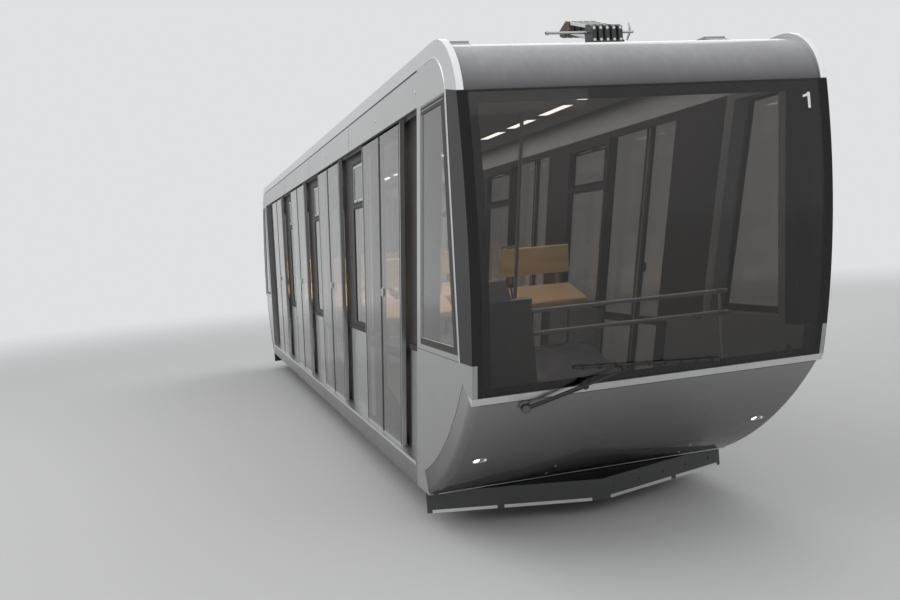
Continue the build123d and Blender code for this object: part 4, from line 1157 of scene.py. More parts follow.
def buildFascia(side, look):
    plane = car["sidePlane"]
    bm = bmesh.new()
    for i in range(look["screwCount"]):
        place = Vector((look["firstScrew"] - i * look["screwPitch"], side * plane, look["screwHeight"]))
        addScrew(bm, place, yAxis * side, look["screwRadius"], 0.005)
    finishPiece(bm, f"fasciaScrews-{sideName(side)}", "bareBolt")

    bm = bmesh.new()
    z = car["roofTop"] - nose["edgeDepth"] - look["grooveWidth"] * 0.7
    groove = [(innerArch(-1)[0][0], z), (look["grooveStart"], z)]
    addSideLine(bm, groove, side, flatBar(look["grooveWidth"], -0.001, 0.0008))
    z0, z1 = car["fasciaBottom"] + 0.001, car["roofTop"] - nose["edgeDepth"] - 0.012
    for number in range(look["seams"]):  # butt joints of the fascia's sheets, plumb as the posts are
        u = doorAt(number) - car["doorWidth"] - look["seamBack"]
        addSideLine(bm, [(upright(u, z), z) for z in (z0, z1)], side, flatBar(0.003, -0.001, 0.0005))
    finishPiece(bm, f"fasciaGroove-{sideName(side)}", "sealRubber")

    bm = bmesh.new()  # brush strip that closes the leaf slot
    z = car["fasciaBottom"]
    strip = [(upright(car["corner"][end] - end * 0.01, z), z - 0.004) for end in (-1, 1)]
    addSideLine(bm, strip, side, flatBar(0.012, -0.004, 0.004), plane - 0.008)
    finishPiece(bm, f"slotBrush-{sideName(side)}", "sealRubber")


for side in sides:
    buildFascia(side, fasciaLook)
print("stage: fascias")

# Windshields: a dark printed border behind the glass, edge gaskets, and a plain white number
glazingLook = {
    "gasketProud": -0.0003,  # below the surface at the bulge, which is the car's own end
    "borderSide": 0.052,
    "borderHead": 0.070,
    "borderFoot": 0.045,
    "behind": 0.0145,
    "gasket": 0.007,
    "gasketHead": 0.0003,
    "oneY": 1.000,
    "oneHeight": 2.635,
    "oneTall": 0.094,
    "oneWide": 0.050,
}


def buildGlazing(end, look):
    half = car["sidePlane"] - nose["pillarFront"]
    top, foot, _ = noseCurve(end, "glass")
    rim = look["borderSide"]
    bm = bmesh.new()  # the border: thin sheets on the inner face of the glass
    for side in sides:
        downNose(bm, end, "glass", side * (half - rim / 2), top.y - 0.004, foot.y + 0.004,
                 flatBar(rim, -0.0008, 0.0008), 14, look["behind"])
    for z, width in ((top.y - look["borderHead"] / 2, look["borderHead"]),
                     (foot.y + look["borderFoot"] / 2 + 0.004, look["borderFoot"])):
        acrossNose(bm, end, "glass", z, -half + rim, half - rim, flatBar(width, -0.0008, 0.0008),
                   look["behind"])
    finishPiece(bm, f"glassBorder-{endName(end)}", "glossBlack")

    bm = bmesh.new()  # gaskets round the pane
    gasket = flatBar(look["gasket"], -0.004, look["gasketProud"])
    for side in sides:
        downNose(bm, end, "glass", side * half, top.y - 0.002, foot.y + 0.006, gasket)
    acrossNose(bm, end, "glass", top.y - 0.006, -half, half,
               flatBar(look["gasket"], -0.004, look["gasketHead"]))
    acrossNose(bm, end, "glass", foot.y + 0.007, -half, half, gasket)
    skinHalf = car["sidePlane"] - 0.05
    acrossNose(bm, end, "skin", noseCurve(end, "skin")[0].y - 0.003, -skinHalf, skinHalf,
               flatBar(0.003, -0.003, 0.0006))
    finishPiece(bm, f"glassGasket-{endName(end)}", "sealRubber")

    bm = bmesh.new()  # the number, cut from white film
    place, down, normal = noseStation(end, "glass", look["oneHeight"], end * look["oneY"])
    tall, wide = look["oneTall"], look["oneWide"]
    stem = wide * 0.36
    digit = [(wide / 2 - stem, -tall / 2), (wide / 2, -tall / 2), (wide / 2, tall / 2),
             (wide / 2 - stem * 0.9, tall / 2), (wide * 0.02, tall * 0.40), (-wide / 2, tall * 0.32),
             (-wide / 2, tall * 0.18), (wide / 2 - stem, tall * 0.26)]
    closeRings(bm, [[bm.verts.new(place + normal * off - down * up + yAxis * end * a) for a, up in digit]
                    for off in (0.0008, 0.0018)])
    finishPiece(bm, f"carNumber-{endName(end)}", "whiteFilm")


for end in ends:
    buildGlazing(end, glazingLook)
print("stage: windshields")

# Headlamps: an oval bezel, a grey bowl, a round projector that is lit, and a domed lens
lampLook = {
    "rise": 0.600,
    "fromSide": 0.170,
    "width": 0.046,
    "tall": 0.027,
    "bezel": 0.0055,
    "bezelProud": 0.0035,
    "bowl": ((0.98, -0.003), (0.90, -0.020), (0.66, -0.038), (0.30, -0.046)),
    "lens": ((0.97, -0.0045), (0.985, -0.0015), (0.90, 0.0012), (0.62, 0.0035), (0.30, 0.0046)),
    "projector": 0.0235,
    "projectorShift": 0.019,
    "smallLight": 0.55,
    "sides": 32,
}


def lampFrame(end, side, look):  # centre on the skin, and the lamp's across, up and out directions
    place = car["sidePlane"] - look["fromSide"]
    centre, down, normal = noseStation(end, "skin", car["railTop"] + look["rise"], side * place)
    return centre, yAxis * end, -down, normal


def ovalRing(bm, frame, width, tall, out, count):
    centre, across, up, normal = frame
    turns = [2 * math.pi * i / count for i in range(count)]
    return [bm.verts.new(centre + across * width * math.cos(a) + up * tall * math.sin(a) + normal * out)
            for a in turns]


def buildLamp(end, side, look):
    label = cornerName(end, side)
    frame = lampFrame(end, side, look)
    centre, across, _, normal = frame
    width, tall, count = look["width"], look["tall"], look["sides"]

    bm = bmesh.new()  # bezel
    rim = look["bezel"]
    shape = ((0.0, -0.004), (0.0, look["bezelProud"] * 0.6), (rim * 0.5, look["bezelProud"]),
             (rim, look["bezelProud"] * 0.5), (rim, -0.001))
    rings = [ovalRing(bm, frame, width - 0.0012 + grow, tall - 0.0012 + grow, out, count)
             for grow, out in shape]
    joinRings(bm, rings + rings[:1])
    finishPiece(bm, f"lampBezel-{label}", "railSteel")

    bm = bmesh.new()  # bowl
    radius = look["projector"]
    rings = [ovalRing(bm, frame, width * size, tall * size, out, count) for size, out in look["bowl"]]
    joinRings(bm, rings)
    bm.faces.new(rings[-1])
    for shift in (-1, 1):  # shrouds of the projector and of the running light beside it
        lathed = [(radius + 0.003, -0.040), (radius + 0.003, -0.012), (radius + 0.0005, -0.010),
                  (radius + 0.0005, -0.032)]
        if shift > 0:
            lathed = [(r * look["smallLight"], along) for r, along in lathed]
        addLathe(bm, lathed, centre + across * shift * look["projectorShift"], normal, 20)
    finishPiece(bm, f"lampBowl-{label}", "capGrey")

    bm = bmesh.new()  # the lit projector lens
    addLathe(bm, [(radius, -0.030), (radius, -0.012), (radius * 0.85, -0.006), (radius * 0.5, -0.0035)],
             centre - across * look["projectorShift"], normal, 20)
    finishPiece(bm, f"lampGlow-{label}", "lampGlow")

    bm = bmesh.new()  # domed lens
    outer = [ovalRing(bm, frame, width * size, tall * size, out, count) for size, out in look["lens"]]
    inner = [ovalRing(bm, frame, width * size * 0.97, tall * size * 0.97, out - 0.0022, count)
             for size, out in look["lens"]]
    joinRings(bm, outer)
    joinRings(bm, inner)
    joinRings(bm, [outer[0], inner[0]])
    bm.faces.new(outer[-1])
    bm.faces.new(inner[-1][::-1])
    return finishPiece(bm, f"lampLens-{label}", "lampGlass")


lenses = [buildLamp(end, side, lampLook) for end in ends for side in sides]
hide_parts("headlamps")
print("stage: headlamps")

# Noses: bright screws of the towing cover, its outline, and the folded foot of the skin
coverLook = {
    "screws": ((-0.367, 0.4365), (0.652, 0.4295), (-0.372, 0.352), (0.655, 0.350)),
    "radius": 0.009,
    "top": 0.475,
    "foot": 0.300,
    "left": -0.415,
    "right": 0.700,
    "gap": 0.0028,
    "footStrip": 0.014,
}


def buildCover(end, look):
    bm = bmesh.new()
    for y, z in look["screws"]:
        place, _, normal = noseStation(end, "skin", z, end * y)
        addScrew(bm, place, normal, look["radius"], 0.004)
    finishPiece(bm, f"coverScrews-{endName(end)}", "bareBolt")

    bm = bmesh.new()  # shadow gap round the cover
    section = flatBar(look["gap"], -0.001, 0.0005)
    for y in (look["left"], look["right"]):
        downNose(bm, end, "skin", end * y, look["top"], look["foot"], section, 8)
    for z in (look["top"], look["foot"]):
        acrossNose(bm, end, "skin", z, *sorted((end * look["left"], end * look["right"])), section)
    finishPiece(bm, f"coverGap-{endName(end)}", "sealRubber")

    bm = bmesh.new()  # folded foot of the skin
    z = car["railTop"] + nose["skirtRise"] + look["footStrip"] / 2 + 0.002
    acrossNose(bm, end, "skin", z, -car["sidePlane"] + 0.06, car["sidePlane"] - 0.06,
               domeBar(look["footStrip"], -0.001, 0.004))
    finishPiece(bm, f"skinFoot-{endName(end)}", "doorEdge")


for end in ends:
    buildCover(end, coverLook)

# Wipers: the cap and the blade of each, on the solid arm
wiperLook = {
    "pivotY": 0.830,
    "pivotDrop": 0.035,
    "knob": 0.026,
    "proud": 0.042,
    "bladeY": (0.400, -0.550),
    "bladeRise": (0.055, 0.115),
    "claws": 9,
}


def buildWiper(end, look):
    glassFoot = noseCurve(end, "glass")[1]
    stripFoot = noseCurve(end, "skin")[0]
    knob, proud = look["knob"], look["proud"]
    pivot, _, out = noseStation(end, "skin", stripFoot.y - look["pivotDrop"], -end * look["pivotY"])
    bm = bmesh.new()
    addLathe(bm, [(knob * 1.35, -0.001), (knob * 1.35, 0.005), (knob * 1.1, 0.010)], pivot, out)
    addLathe(bm, [(knob * 1.04, proud - 0.012), (knob * 1.04, proud - 0.002), (knob * 0.80, proud + 0.002),
                  (knob * 0.35, proud + 0.003)], pivot, out)
    finishPiece(bm, f"wiperCap-{endName(end)}", "capGrey", 0.0006, slotName="wiper_black")

    def bladeStation(share, off):
        y0, y1 = look["bladeY"]
        rise0, rise1 = look["bladeRise"]
        z = glassFoot.y + rise0 + (rise1 - rise0) * share
        return noseStation(end, "glass", z, end * (y0 + (y1 - y0) * share), off)

    bm = bmesh.new()  # blade: a spine with claws, and the rubber that touches the glass
    addSweep(bm, [bladeStation(share, 0.004) for share in (0.0, 0.5, 1.0)],
             [(-0.0035, -0.0030), (0.0035, -0.0030), (0.006, 0.006), (-0.006, 0.006)])
    for i in range(look["claws"]):
        centre, across, up = bladeStation((i + 0.5) / look["claws"], 0.0095)
        addSweep(bm, [(centre + yAxis * run, across, up) for run in (-0.007, 0.007)],
                 flatBar(0.023, -0.010, 0.010))
    finishPiece(bm, f"wiperBlade-{endName(end)}", "sealRubber", 0.0008)


for end in ends:
    buildWiper(end, wiperLook)

# Ploughs: bright metal strips along the lower edges as a painted highlight of the lit lip, and bolts of the
# wings
ploughLook = {
    "reach": 0.270,
    "setBack": 0.090,
    "foot": 0.095,
    "lip": 0.022,
    "proud": 0.003,
    "highlightRuns": ((0.03, 0.40), (0.44, 0.94)),
    "bolts": 5,
    "boltRise": 0.075,
}


def buildPlough(end, look):
    foot = noseCurve(end, "skin")[1]
    wing = Vector((foot.x - end * look["setBack"], car["sidePlane"]))
    tip = Vector((foot.x + end * look["reach"], 0.0))
    z0 = car["railTop"] + look["foot"]
    lipHighlights, bolts = bmesh.new(), bmesh.new()
    for side in sides:
        a, b = Vector((wing.x, side * wing.y, z0)), Vector((tip.x, 0.0, z0))
        along = (b - a).normalized()
        out = Vector((along.y, -along.x, 0.0)) * (-side * end)
        if out.x * end < 0:
            out.negate()
        # bright strips on the lip: a painted highlight of its lit edge
        for start, stop in look["highlightRuns"]:
            stations = [(a.lerp(b, share) + zAxis * look["lip"] / 2, zAxis, out) for share in (start, stop)]
            addSweep(lipHighlights, stations, flatBar(look["lip"], -0.001, look["proud"]))
        for i in range(look["bolts"]):
            place = a.lerp(b, (i + 0.5) / look["bolts"]) + zAxis * look["boltRise"]
            addBolt(bolts, place, out, 0.009, 0.007)
    finishPiece(lipHighlights, f"ploughLipHighlight-{endName(end)}", "brightStrip", 0.0008)
    finishPiece(bolts, f"ploughBolts-{endName(end)}", "ploughPaint")


for end in ends:
    buildPlough(end, ploughLook)
print("stage: noses, wipers and ploughs")

# Collector: bright arms, rust-red carbon shoes, studs, springs, horn bar with its hook, and a cable
collectorLook = {
    "count": 5,
    "pitch": 0.052,
    "middle": 0.474,
    "shift": 0.046,
    "bar": 0.009,
    "barTall": 0.022,
    "pivotBack": 1.128,
    "shoeBack": 1.628,
    "pivotRise": (3.320, 3.395),
    "shoeRise": 0.155,
    "pivotHalf": 0.062,
    "shoeHalf": 0.095,
    "shoePlate": 0.036,
    "shoeHeight": 0.110,
    "coilTurns": 9,
    "coilSteps": 60,
    "coilRadius": 0.006,
    "coilWire": 0.0016,
    "hornY": (0.020, 0.712),
    "hornRise": 3.366,
    "hornRadius": 0.009,
}


def buildCollector(look):
    turn = archTurn(1)
    radius = (car["roofTop"] - car["railTop"] - nose["archRise"]) / (1 - math.cos(turn))
    roofX = noseAt(1, 0.0, 0.0).x - radius * math.sin(turn)
    pivotX, shoeX = roofX - look["pivotBack"], roofX - look["shoeBack"]
    heights = [car["railTop"] + rise for rise in look["pivotRise"]]
    tall = look["barTall"]

    def lineY(i, shift):
        return look["middle"] + shift + (i - (look["count"] - 1) / 2) * look["pitch"]

    arms, shoes, studs, springs = [bmesh.new() for _ in range(4)]
    along = Vector((shoeX - pivotX, look["shift"], look["shoeRise"]))
    for i in range(look["count"]):
        for z in heights:  # sleeves over the solid bars, between the two blocks
            start = Vector((pivotX, lineY(i, 0.0), z + tall / 2))
            stations = [(start + along * share, yAxis, zAxis) for share in (0.16, 0.80)]
            addSweep(arms, stations, flatBar(look["bar"] + 0.002, -tall / 2 - 0.001, tall / 2 + 0.001))
        y = lineY(i, look["shift"])
        z0 = heights[0] + look["shoeRise"] - tall
        z1 = z0 + look["shoeHeight"]
        half = look["shoeHalf"]
        outline = [(shoeX - half, z0 + tall), (shoeX - half / 2, z0), (shoeX + half / 2, z0),
                   (shoeX + half, z0 + tall), (shoeX + half, z1 - tall), (shoeX + half / 3, z1),
                   (shoeX - half, z1 - 2 * tall)]
        hump = [(x, z - 0.0006) for x, z in outline]
        thick = look["shoePlate"] / 2 + 0.0012
        addPrism(shoes, insetOutline(hump, 0.002), y - thick, y + thick)
        y = lineY(i, 0.0)
        for z in (heights[0] - tall * 0.9, heights[1] - 0.012):
            addLathe(studs, [(0.0105, -0.002), (0.0105, 0.004), (0.007, 0.007)],
                     Vector((pivotX + look["pivotHalf"], y, z)), xAxis, 12)
        coil, steps, wide = [], look["coilSteps"], look["coilRadius"]
        for k in range(steps + 1):  # tension spring under each arm
            angle = k / steps * 2 * math.pi * look["coilTurns"]
            place = Vector((pivotX, y + 0.013, heights[0] - 0.004)) + along * (0.14 + 0.34 * k / steps)
            coil.append(place + Vector((0.0, math.cos(angle) * wide, math.sin(angle) * wide)))
        for a, b in zip(coil, coil[1:]):
            addRod(springs, a, b, look["coilWire"], 5)
    finishPiece(arms, "collectorArms", "shoeMetal", 0.0006)
    finishPiece(shoes, "collectorShoes", "carbonShoe", 0.002)
    finishPiece(studs, "collectorStuds", "whiteFilm", slotName="collector_metal")
    finishPiece(springs, "collectorSprings", "bareBolt", slotName="collector_metal")

    bm = bmesh.new()  # horn bar, with its bent hook and end ball
    z = car["railTop"] + look["hornRise"]
    inner, outer = look["hornY"]
    start = Vector((pivotX, inner + 0.003, z))
    stop = Vector((pivotX, outer - 0.003, z))
    addRod(bm, start, stop, look["hornRadius"] + 0.0008, 16)
    addLathe(bm, [(0.013, 0.0), (0.016, 0.006), (0.016, 0.016), (0.010, 0.022)], start, yAxis, 16)
    hook = [(-0.060, -0.050), (-0.012, -0.014), (0.0, 0.030), (-0.020, 0.070), (-0.030, 0.066),
            (-0.015, 0.030), (-0.026, 0.0), (-0.066, -0.040)]
    outline = [(pivotX + a + 0.010, z + b) for a, b in hook]
    addPrism(bm, outline, outer - 0.030, outer - 0.020)
    finishPiece(bm, "collectorHorn", "shoeMetal", 0.001)

    bm = bmesh.new()  # cable from the frame into the roof, with its gland
    foot = Vector((pivotX - 0.20, 0.468, car["skinTop"]))
    points = [Vector((pivotX - 0.05, 0.468, heights[0] - 0.03))]
    for i in range(1, 9):
        t = i / 9
        sag = math.sin(math.pi * t) * 0.035
        points.append(points[0].lerp(foot, t) + Vector((sag, 0.0, -sag * 0.3)))
    points.append(foot)
    addTube(bm, points, 0.007, 10)
    addLathe(bm, [(0.022, -0.002), (0.022, 0.012), (0.014, 0.018), (0.010, 0.034)], foot, zAxis, 16)
    finishPiece(bm, "collectorCable", "sealRubber")


buildCollector(collectorLook)

# Roof: sheet joints, duct lids with louvres, and the ducts' sloped ends
roofLook = {
    "ribPitch": 1.215,
    "ribWidth": 0.050,
    "ribHigh": 0.004,
    "ribHalf": 0.800,
    "ductY": (0.820, 0.970),
    "lidOver": 0.006,
    "lidPitch": 1.640,
    "lidInset": 0.06,
    "louvres": 7,
    "louvreStart": 0.42,
    "louvrePitch": 0.055,
    "louvreLong": 0.034,
    "rampLength": 0.230,
}


def buildRoof(look):
    low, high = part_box("roof_ducts")
    bm = bmesh.new()
    x = low.x + 0.35
    while x < high.x:
        stations = [(Vector((x, y, car["skinTop"])), xAxis, zAxis)
                    for y in (-look["ribHalf"], look["ribHalf"])]
        addSweep(bm, stations, domeBar(look["ribWidth"], -0.001, look["ribHigh"]))
        x += look["ribPitch"]
    finishPiece(bm, "roofJoints", "roofPaint")

    y0, y1 = look["ductY"]
    top = high.z
    for side in sides:
        lids, louvres, bolts, ramps = [bmesh.new() for _ in range(4)]
        count = int((high.x - low.x) / look["lidPitch"])
        pitch = (high.x - low.x) / count
        for i in range(count):
            x0, x1 = low.x + i * pitch + 0.004, low.x + (i + 1) * pitch - 0.004
            yLow, yHigh = bandBetween((y0 - look["lidOver"], y1 + look["lidOver"]), side)
            addBlock(lids, (x0, yLow, top - 0.018), (x1, yHigh, top + 0.003))
            for x in (x0 + look["lidInset"], (x0 + x1) / 2, x1 - look["lidInset"]):
                for y in (y0 + 0.02, y1 - 0.02):
                    addScrew(bolts, Vector((x, side * y, top + 0.003)), zAxis, 0.008, 0.004)
            for k in range(look["louvres"]):
                x = x0 + look["louvreStart"] + k * look["louvrePitch"]
                for y in ((y0 + 0.001, y0 - 0.0025), (y1 - 0.001, y1 + 0.0025)):
                    yLow, yHigh = bandBetween(y, side)
                    addBlock(louvres, (x, yLow, top - 0.092),
                             (x + look["louvreLong"], yHigh, top - 0.030))
        for end, edge in ((1, high.x), (-1, low.x)):
            near, far, foot = edge - end * 0.01, edge + end * look["rampLength"], car["skinTop"]
            addPrism(ramps, [(near, foot), (far, foot), (far, foot + 0.012), (near, top - 0.004)],
                     *bandBetween((y0 + 0.001, y1 - 0.001), side))
        label = sideName(side)
        finishPiece(lids, f"ductLids-{label}", "roofPaint", 0.003)
        finishPiece(louvres, f"ductLouvres-{label}", "sealRubber", 0.0008, slotName="roof_paint")
        finishPiece(bolts, f"ductScrews-{label}", "bareBolt", slotName="roof_paint")
        finishPiece(ramps, f"ductRamps-{label}", "roofPaint", 0.004)


buildRoof(roofLook)
print("stage: roof and collector")

# Steps: the same stepped line as the solid floor, for nosings, and for the benches that stand on it
stepLook = {
    "treadDepth": 0.333,
    "treadCount": 3,
    "thickness": 0.045,
    "least": 0.012,
    "halfWidth": 1.010,
    "nosingRun": 0.048,
    "nosingRise": 0.034,
    "sheet": 0.0025,
    "grooves": 3,
}
stepLook["low"] = car["sillTop"] + stepLook["least"] + stepLook["thickness"] * (car["sin"] + car["cos"])
stepLook["platform"] = car["doorPitch"] * car["cos"] - stepLook["treadCount"] * stepLook["treadDepth"]
stepLook["riser"] = car["doorPitch"] * car["sin"] / (stepLook["treadCount"] + 1)


def stepEdges(look):  # the top edge of each riser, from the uphill end down
    start = (upright(car["doorStart"], look["low"]), look["low"])
    edges = []
    point = start
    for _ in range(look["treadCount"] + 1):
        point = plumb(point, -look["riser"])
        edges.insert(0, point)
        point = level(point, -look["treadDepth"])
    point = start
    for number in range(car["doorCount"]):
        point = level(point, look["platform"])
        steps = look["treadCount"] + 1 if number < car["doorCount"] - 1 else 2
        for k in range(steps):
            edges.append(point)
            point = plumb(point, look["riser"])
            if k < steps - 1:
                point = level(point, look["treadDepth"])
    return edges


def stepCorner(number):  # the floor's front edge at a doorway's lower side, where a bench begins
    return level((upright(doorAt(number), stepLook["low"]), stepLook["low"]), stepLook["platform"])


def buildNosings(look):
    bm = bmesh.new()
    half, sheet = look["halfWidth"], look["sheet"]
    for edge in stepEdges(look):
        run, rise = look["nosingRun"], look["nosingRise"]
        outline = [(0.0, sheet)]
        for k in range(look["grooves"]):  # grooved tread of the angle
            a = -run * (0.2 + 0.22 * k)
            outline += [(a, sheet), (a - 0.003, sheet * 0.45), (a - 0.006, sheet * 0.45), (a - 0.009, sheet)]
        outline += [(-run, sheet), (-run, -0.0005), (-0.0005, -0.0005), (-0.0005, -rise), (sheet, -rise),
                    (sheet, sheet * 0.6)]
        points = [plumb(level(edge, a), -b) for a, b in outline]
        addPrism(bm, points, -half, half)
    finishPiece(bm, "stepNosings", "brightStrip", 0.0006, slotName="rail_steel")


buildNosings(stepLook)

# Benches: bent plywood shells on two steel frames each, with screws and a bright grab handle
benchLook = {
    "aisle": 0.280,
    "wallGap": 0.025,
    "height": 0.450,
    "depth": 0.430,
    "board": 0.028,
    "lip": 0.060,
    "backGap": 0.110,
    "backBoard": 0.260,
    "rake": math.radians(12.0),
    "frameBar": 0.030,
    "fromSide": 0.110,
    "legBack": 0.150,
    "bend": 0.024,
    "seatScrews": (0.19, 0.37),
    "backScrews": (0.05, 0.06),
    "handleIn": 0.030,
    "handleLong": 0.130,
    "handleOut": 0.020,
    "handleRadius": 0.011,
}


def arcPoints(centre, radius, first, last, steps=5):
    angles = [math.radians(first + (last - first) * i / steps) for i in range(steps + 1)]
    return [(centre[0] + radius * math.cos(a), centre[1] + radius * math.sin(a)) for a in angles]


def buildBench(number, side, look):
    label = f"{sideName(side)}{number + 1}"
    edge = stepCorner(number)
    y0, y1 = look["aisle"], car["wallInner"] - look["wallGap"]
    depth, height, board, bend = look["depth"], look["height"], look["board"], look["bend"]
    rake = math.tan(look["rake"])

    def spot(run, rise):
        return plumb(level(edge, run), -rise)

    def behind(rise):
        return depth + (rise - height) * rake

    def hollow(t):  # a place on the back board's front face, which is hollowed a little
        rise = low + (high - low) * t
        return behind(rise) - board + math.sin(math.pi * t) * 0.007, rise

    low, high = height + look["backGap"], height + look["backGap"] + look["backBoard"]
    bm = bmesh.new()  # seat shell, bent down at its front edge
    seat = arcPoints((bend, height - bend), bend, 180, 90)
    seat += [(depth - 0.004, height), (depth, height - 0.004), (depth, height - board + 0.004),
             (depth - 0.004, height - board), (board + 0.004, height - board),
             (board, height - board - 0.004), (board, height - look["lip"]), (0.0, height - look["lip"])]
    addPrism(bm, [spot(a, b) for a, b in seat], *bandBetween((y0, y1), side))
    back = [(behind(low) - board, low), (behind(low), low), (behind(low), low + 0.006)]
    for i in range(1, 6):
        rise = low + (high - low) * (i / 6)
        back.append((behind(rise), rise))
    back += arcPoints((behind(high) - board / 2, high - board / 2), board / 2, 0, 180, 6)
    back += [hollow(i / 6) for i in range(5, 0, -1)]
    addPrism(bm, [spot(a, b) for a, b in back], *bandBetween((y0, y1), side))
    shell = finishPiece(bm, f"benchShell-{label}", "benchWood", 0.004)

    bm = bmesh.new()  # steel frames
    under, bar = height - board, look["frameBar"]
    leg, foot = look["legBack"], -stepLook["riser"] + 0.0005
    barFoot, top = under - bar, high - bar
    frameYs = (y0 + look["fromSide"], y1 - look["fromSide"])
    for y in frameYs:
        points = [(leg, under), (leg, foot), (leg + bar, foot), (leg + bar, barFoot),
                  (behind(barFoot) + bar, barFoot), (behind(top) + bar, top), (behind(top), top),
                  (behind(under), under)]
        addPrism(bm, [spot(a, b) for a, b in points], *bandBetween((y - bar / 2, y + bar / 2), side))
        pad = [(leg - 0.030, foot), (leg + bar + 0.030, foot), (leg + bar + 0.030, foot + 0.007),
               (leg - 0.030, foot + 0.007)]
        reach = bar / 2 + 0.012
        addPrism(bm, [spot(a, b) for a, b in pad], *bandBetween((y - reach, y + reach), side))
    finishPiece(bm, f"benchFrame-{label}", "railSteel", 0.003)

    bm = bmesh.new()  # screws through seat and back, and the handle at the aisle corner
    for y in frameYs:
        for run in look["seatScrews"]:
            addScrew(bm, lift(spot(run, height), side * y), plumbUp, 0.008, 0.0025)
        for rise in (low + look["backScrews"][0], high - look["backScrews"][1]):
            place = spot(*hollow((rise - low) / (high - low)))
            addScrew(bm, lift(place, side * y), levelUphill, 0.008, 0.0025)
    run, y = behind(high) - board / 2, side * (y0 + look["handleIn"])
    start, peak = lift(spot(run, high - 0.004), y), lift(spot(run, high + look["handleOut"]), y)
    along = yAxis * side * look["handleLong"]
    addTube(bm, [start, peak, peak + along, start + along], look["handleRadius"], 12)
    for place in (start, start + along):
        addLathe(bm, [(0.018, -0.001), (0.018, 0.004), (0.013, 0.008)], place, plumbUp, 14)
    finishPiece(bm, f"benchHandle-{label}", "railSteel")
    return shell


shells = [buildBench(number, side, benchLook) for number in range(car["doorCount"]) for side in sides]
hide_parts("benches")
print("stage: steps and benches")

# Ceiling: pale panels between ribs, with two rows of light
ceilingLook = {
    "low": 3.0125,
    "panel": 0.007,
    "half": 0.985,
    "pitch": 0.810,
    "gap": 0.006,
    "rib": 0.045,
    "lightY": 0.560,
    "lightWide": 0.090,
    "lightLong": 0.560,
}


def buildCeiling(look):
    low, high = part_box("roof_skin")
    panels, ribs, lights, rims = [bmesh.new() for _ in range(4)]
    count = int((high.x - low.x - 0.1) / look["pitch"])
    start = (low.x + high.x - count * look["pitch"]) / 2
    top, half, gap = car["ceiling"], look["half"], look["gap"] / 2
    z = top - look["panel"]
    for i in range(count):
        x0, x1 = start + i * look["pitch"] + gap, start + (i + 1) * look["pitch"] - gap
        addBlock(panels, (x0, -half, z), (x1, half, top - 0.0005))
        addSweep(ribs, [(Vector((x1 + gap, y, z)), xAxis, -zAxis) for y in (-half, half)],
                 domeBar(look["rib"], -0.001, z - look["low"]))
        x, long, wide = (x0 + x1) / 2, look["lightLong"] / 2, look["lightWide"] / 2
        for side in sides:
            y = side * look["lightY"]
            addBlock(lights, (x - long, y - wide, z - 0.0025), (x + long, y + wide, z + 0.001))
            for way in (-1, 1):
                edgeX, edgeY = x + way * (long + 0.004), y + way * (wide + 0.004)
                addBlock(rims, (x - long - 0.008, edgeY - 0.004, z - 0.0032),
                         (x + long + 0.008, edgeY + 0.004, z + 0.001))
                addBlock(rims, (edgeX - 0.004, y - wide, z - 0.0032), (edgeX + 0.004, y + wide, z + 0.001))
    finishPiece(panels, "ceilingPanels", "ceilingPaint", 0.001)
    finishPiece(ribs, "ceilingRibs", "doorEdge", slotName="fascia_grey")
    finishPiece(lights, "ceilingLights", "ceilingGlow", 0.0008)
    finishPiece(rims, "ceilingLightRims", "railSteel", 0.0006)


buildCeiling(ceilingLook)

# Rails and poles: flanges at the floor and ceiling, collars, sleeves and end caps
railLook = {
    "poleFromStep": 0.060,
    "poleY": 0.240,
    "collarRise": 1.100,
    "barRise": (1.340, 1.480),
    "barHalf": 0.815,
    "barPost": 0.755,
    "setBack": {1: 0.4916, -1: 0.6964},
}


def barX(end):
    return noseCurve(end, "glass")[1].x - end * railLook["setBack"][end]


def buildRailFittings(look):
    bm = bmesh.new()
    flange = [(0.038, -0.001), (0.038, 0.005), (0.030, 0.009), (0.021, 0.014), (0.0185, 0.030)]
    collar = [(0.0185, 0.0), (0.021, 0.003), (0.021, 0.037), (0.0185, 0.040)]
    for number in range(car["doorCount"]):
        edge = level(stepCorner(number), -look["poleFromStep"])
        reach = (car["ceiling"] - 0.0045 - edge[1]) / car["cos"]
        for side in sides:
            y = side * look["poleY"]
            addLathe(bm, flange, lift(edge, y), plumbUp, 20)
            addLathe(bm, flange[:4], lift(plumb(edge, -reach + 0.008), y), -plumbUp, 20)
            addLathe(bm, collar, lift(plumb(edge, -look["collarRise"]), y), plumbUp, 20)
    sleeve = [(0.0155, -0.026), (0.018, -0.022), (0.018, 0.022), (0.0155, 0.026)]
    cap = [(0.0155, -0.010), (0.0155, -0.001), (0.010, 0.0)]
    for end in ends:
        for side in sides:
            for rise in look["barRise"]:
                x, z = barX(end), car["railTop"] + rise
                addLathe(bm, sleeve, (x, side * look["barPost"], z), yAxis, 18)
                addLathe(bm, cap, (x, side * look["barHalf"], z), yAxis * side, 18)
    finishPiece(bm, "railFittings", "railSteel")


buildRailFittings(railLook)

# Desks: a console with a hooded screen, a lever and push buttons
deskLook = {
    "gap": 0.040,
    "depth": 0.200,
    "width": 0.330,
    "fromWall": 0.020,
    "rise": 1.560,
    "top": 0.016,
    "buttons": 5,
    "buttonStart": 0.045,
    "buttonPitch": 0.032,
}


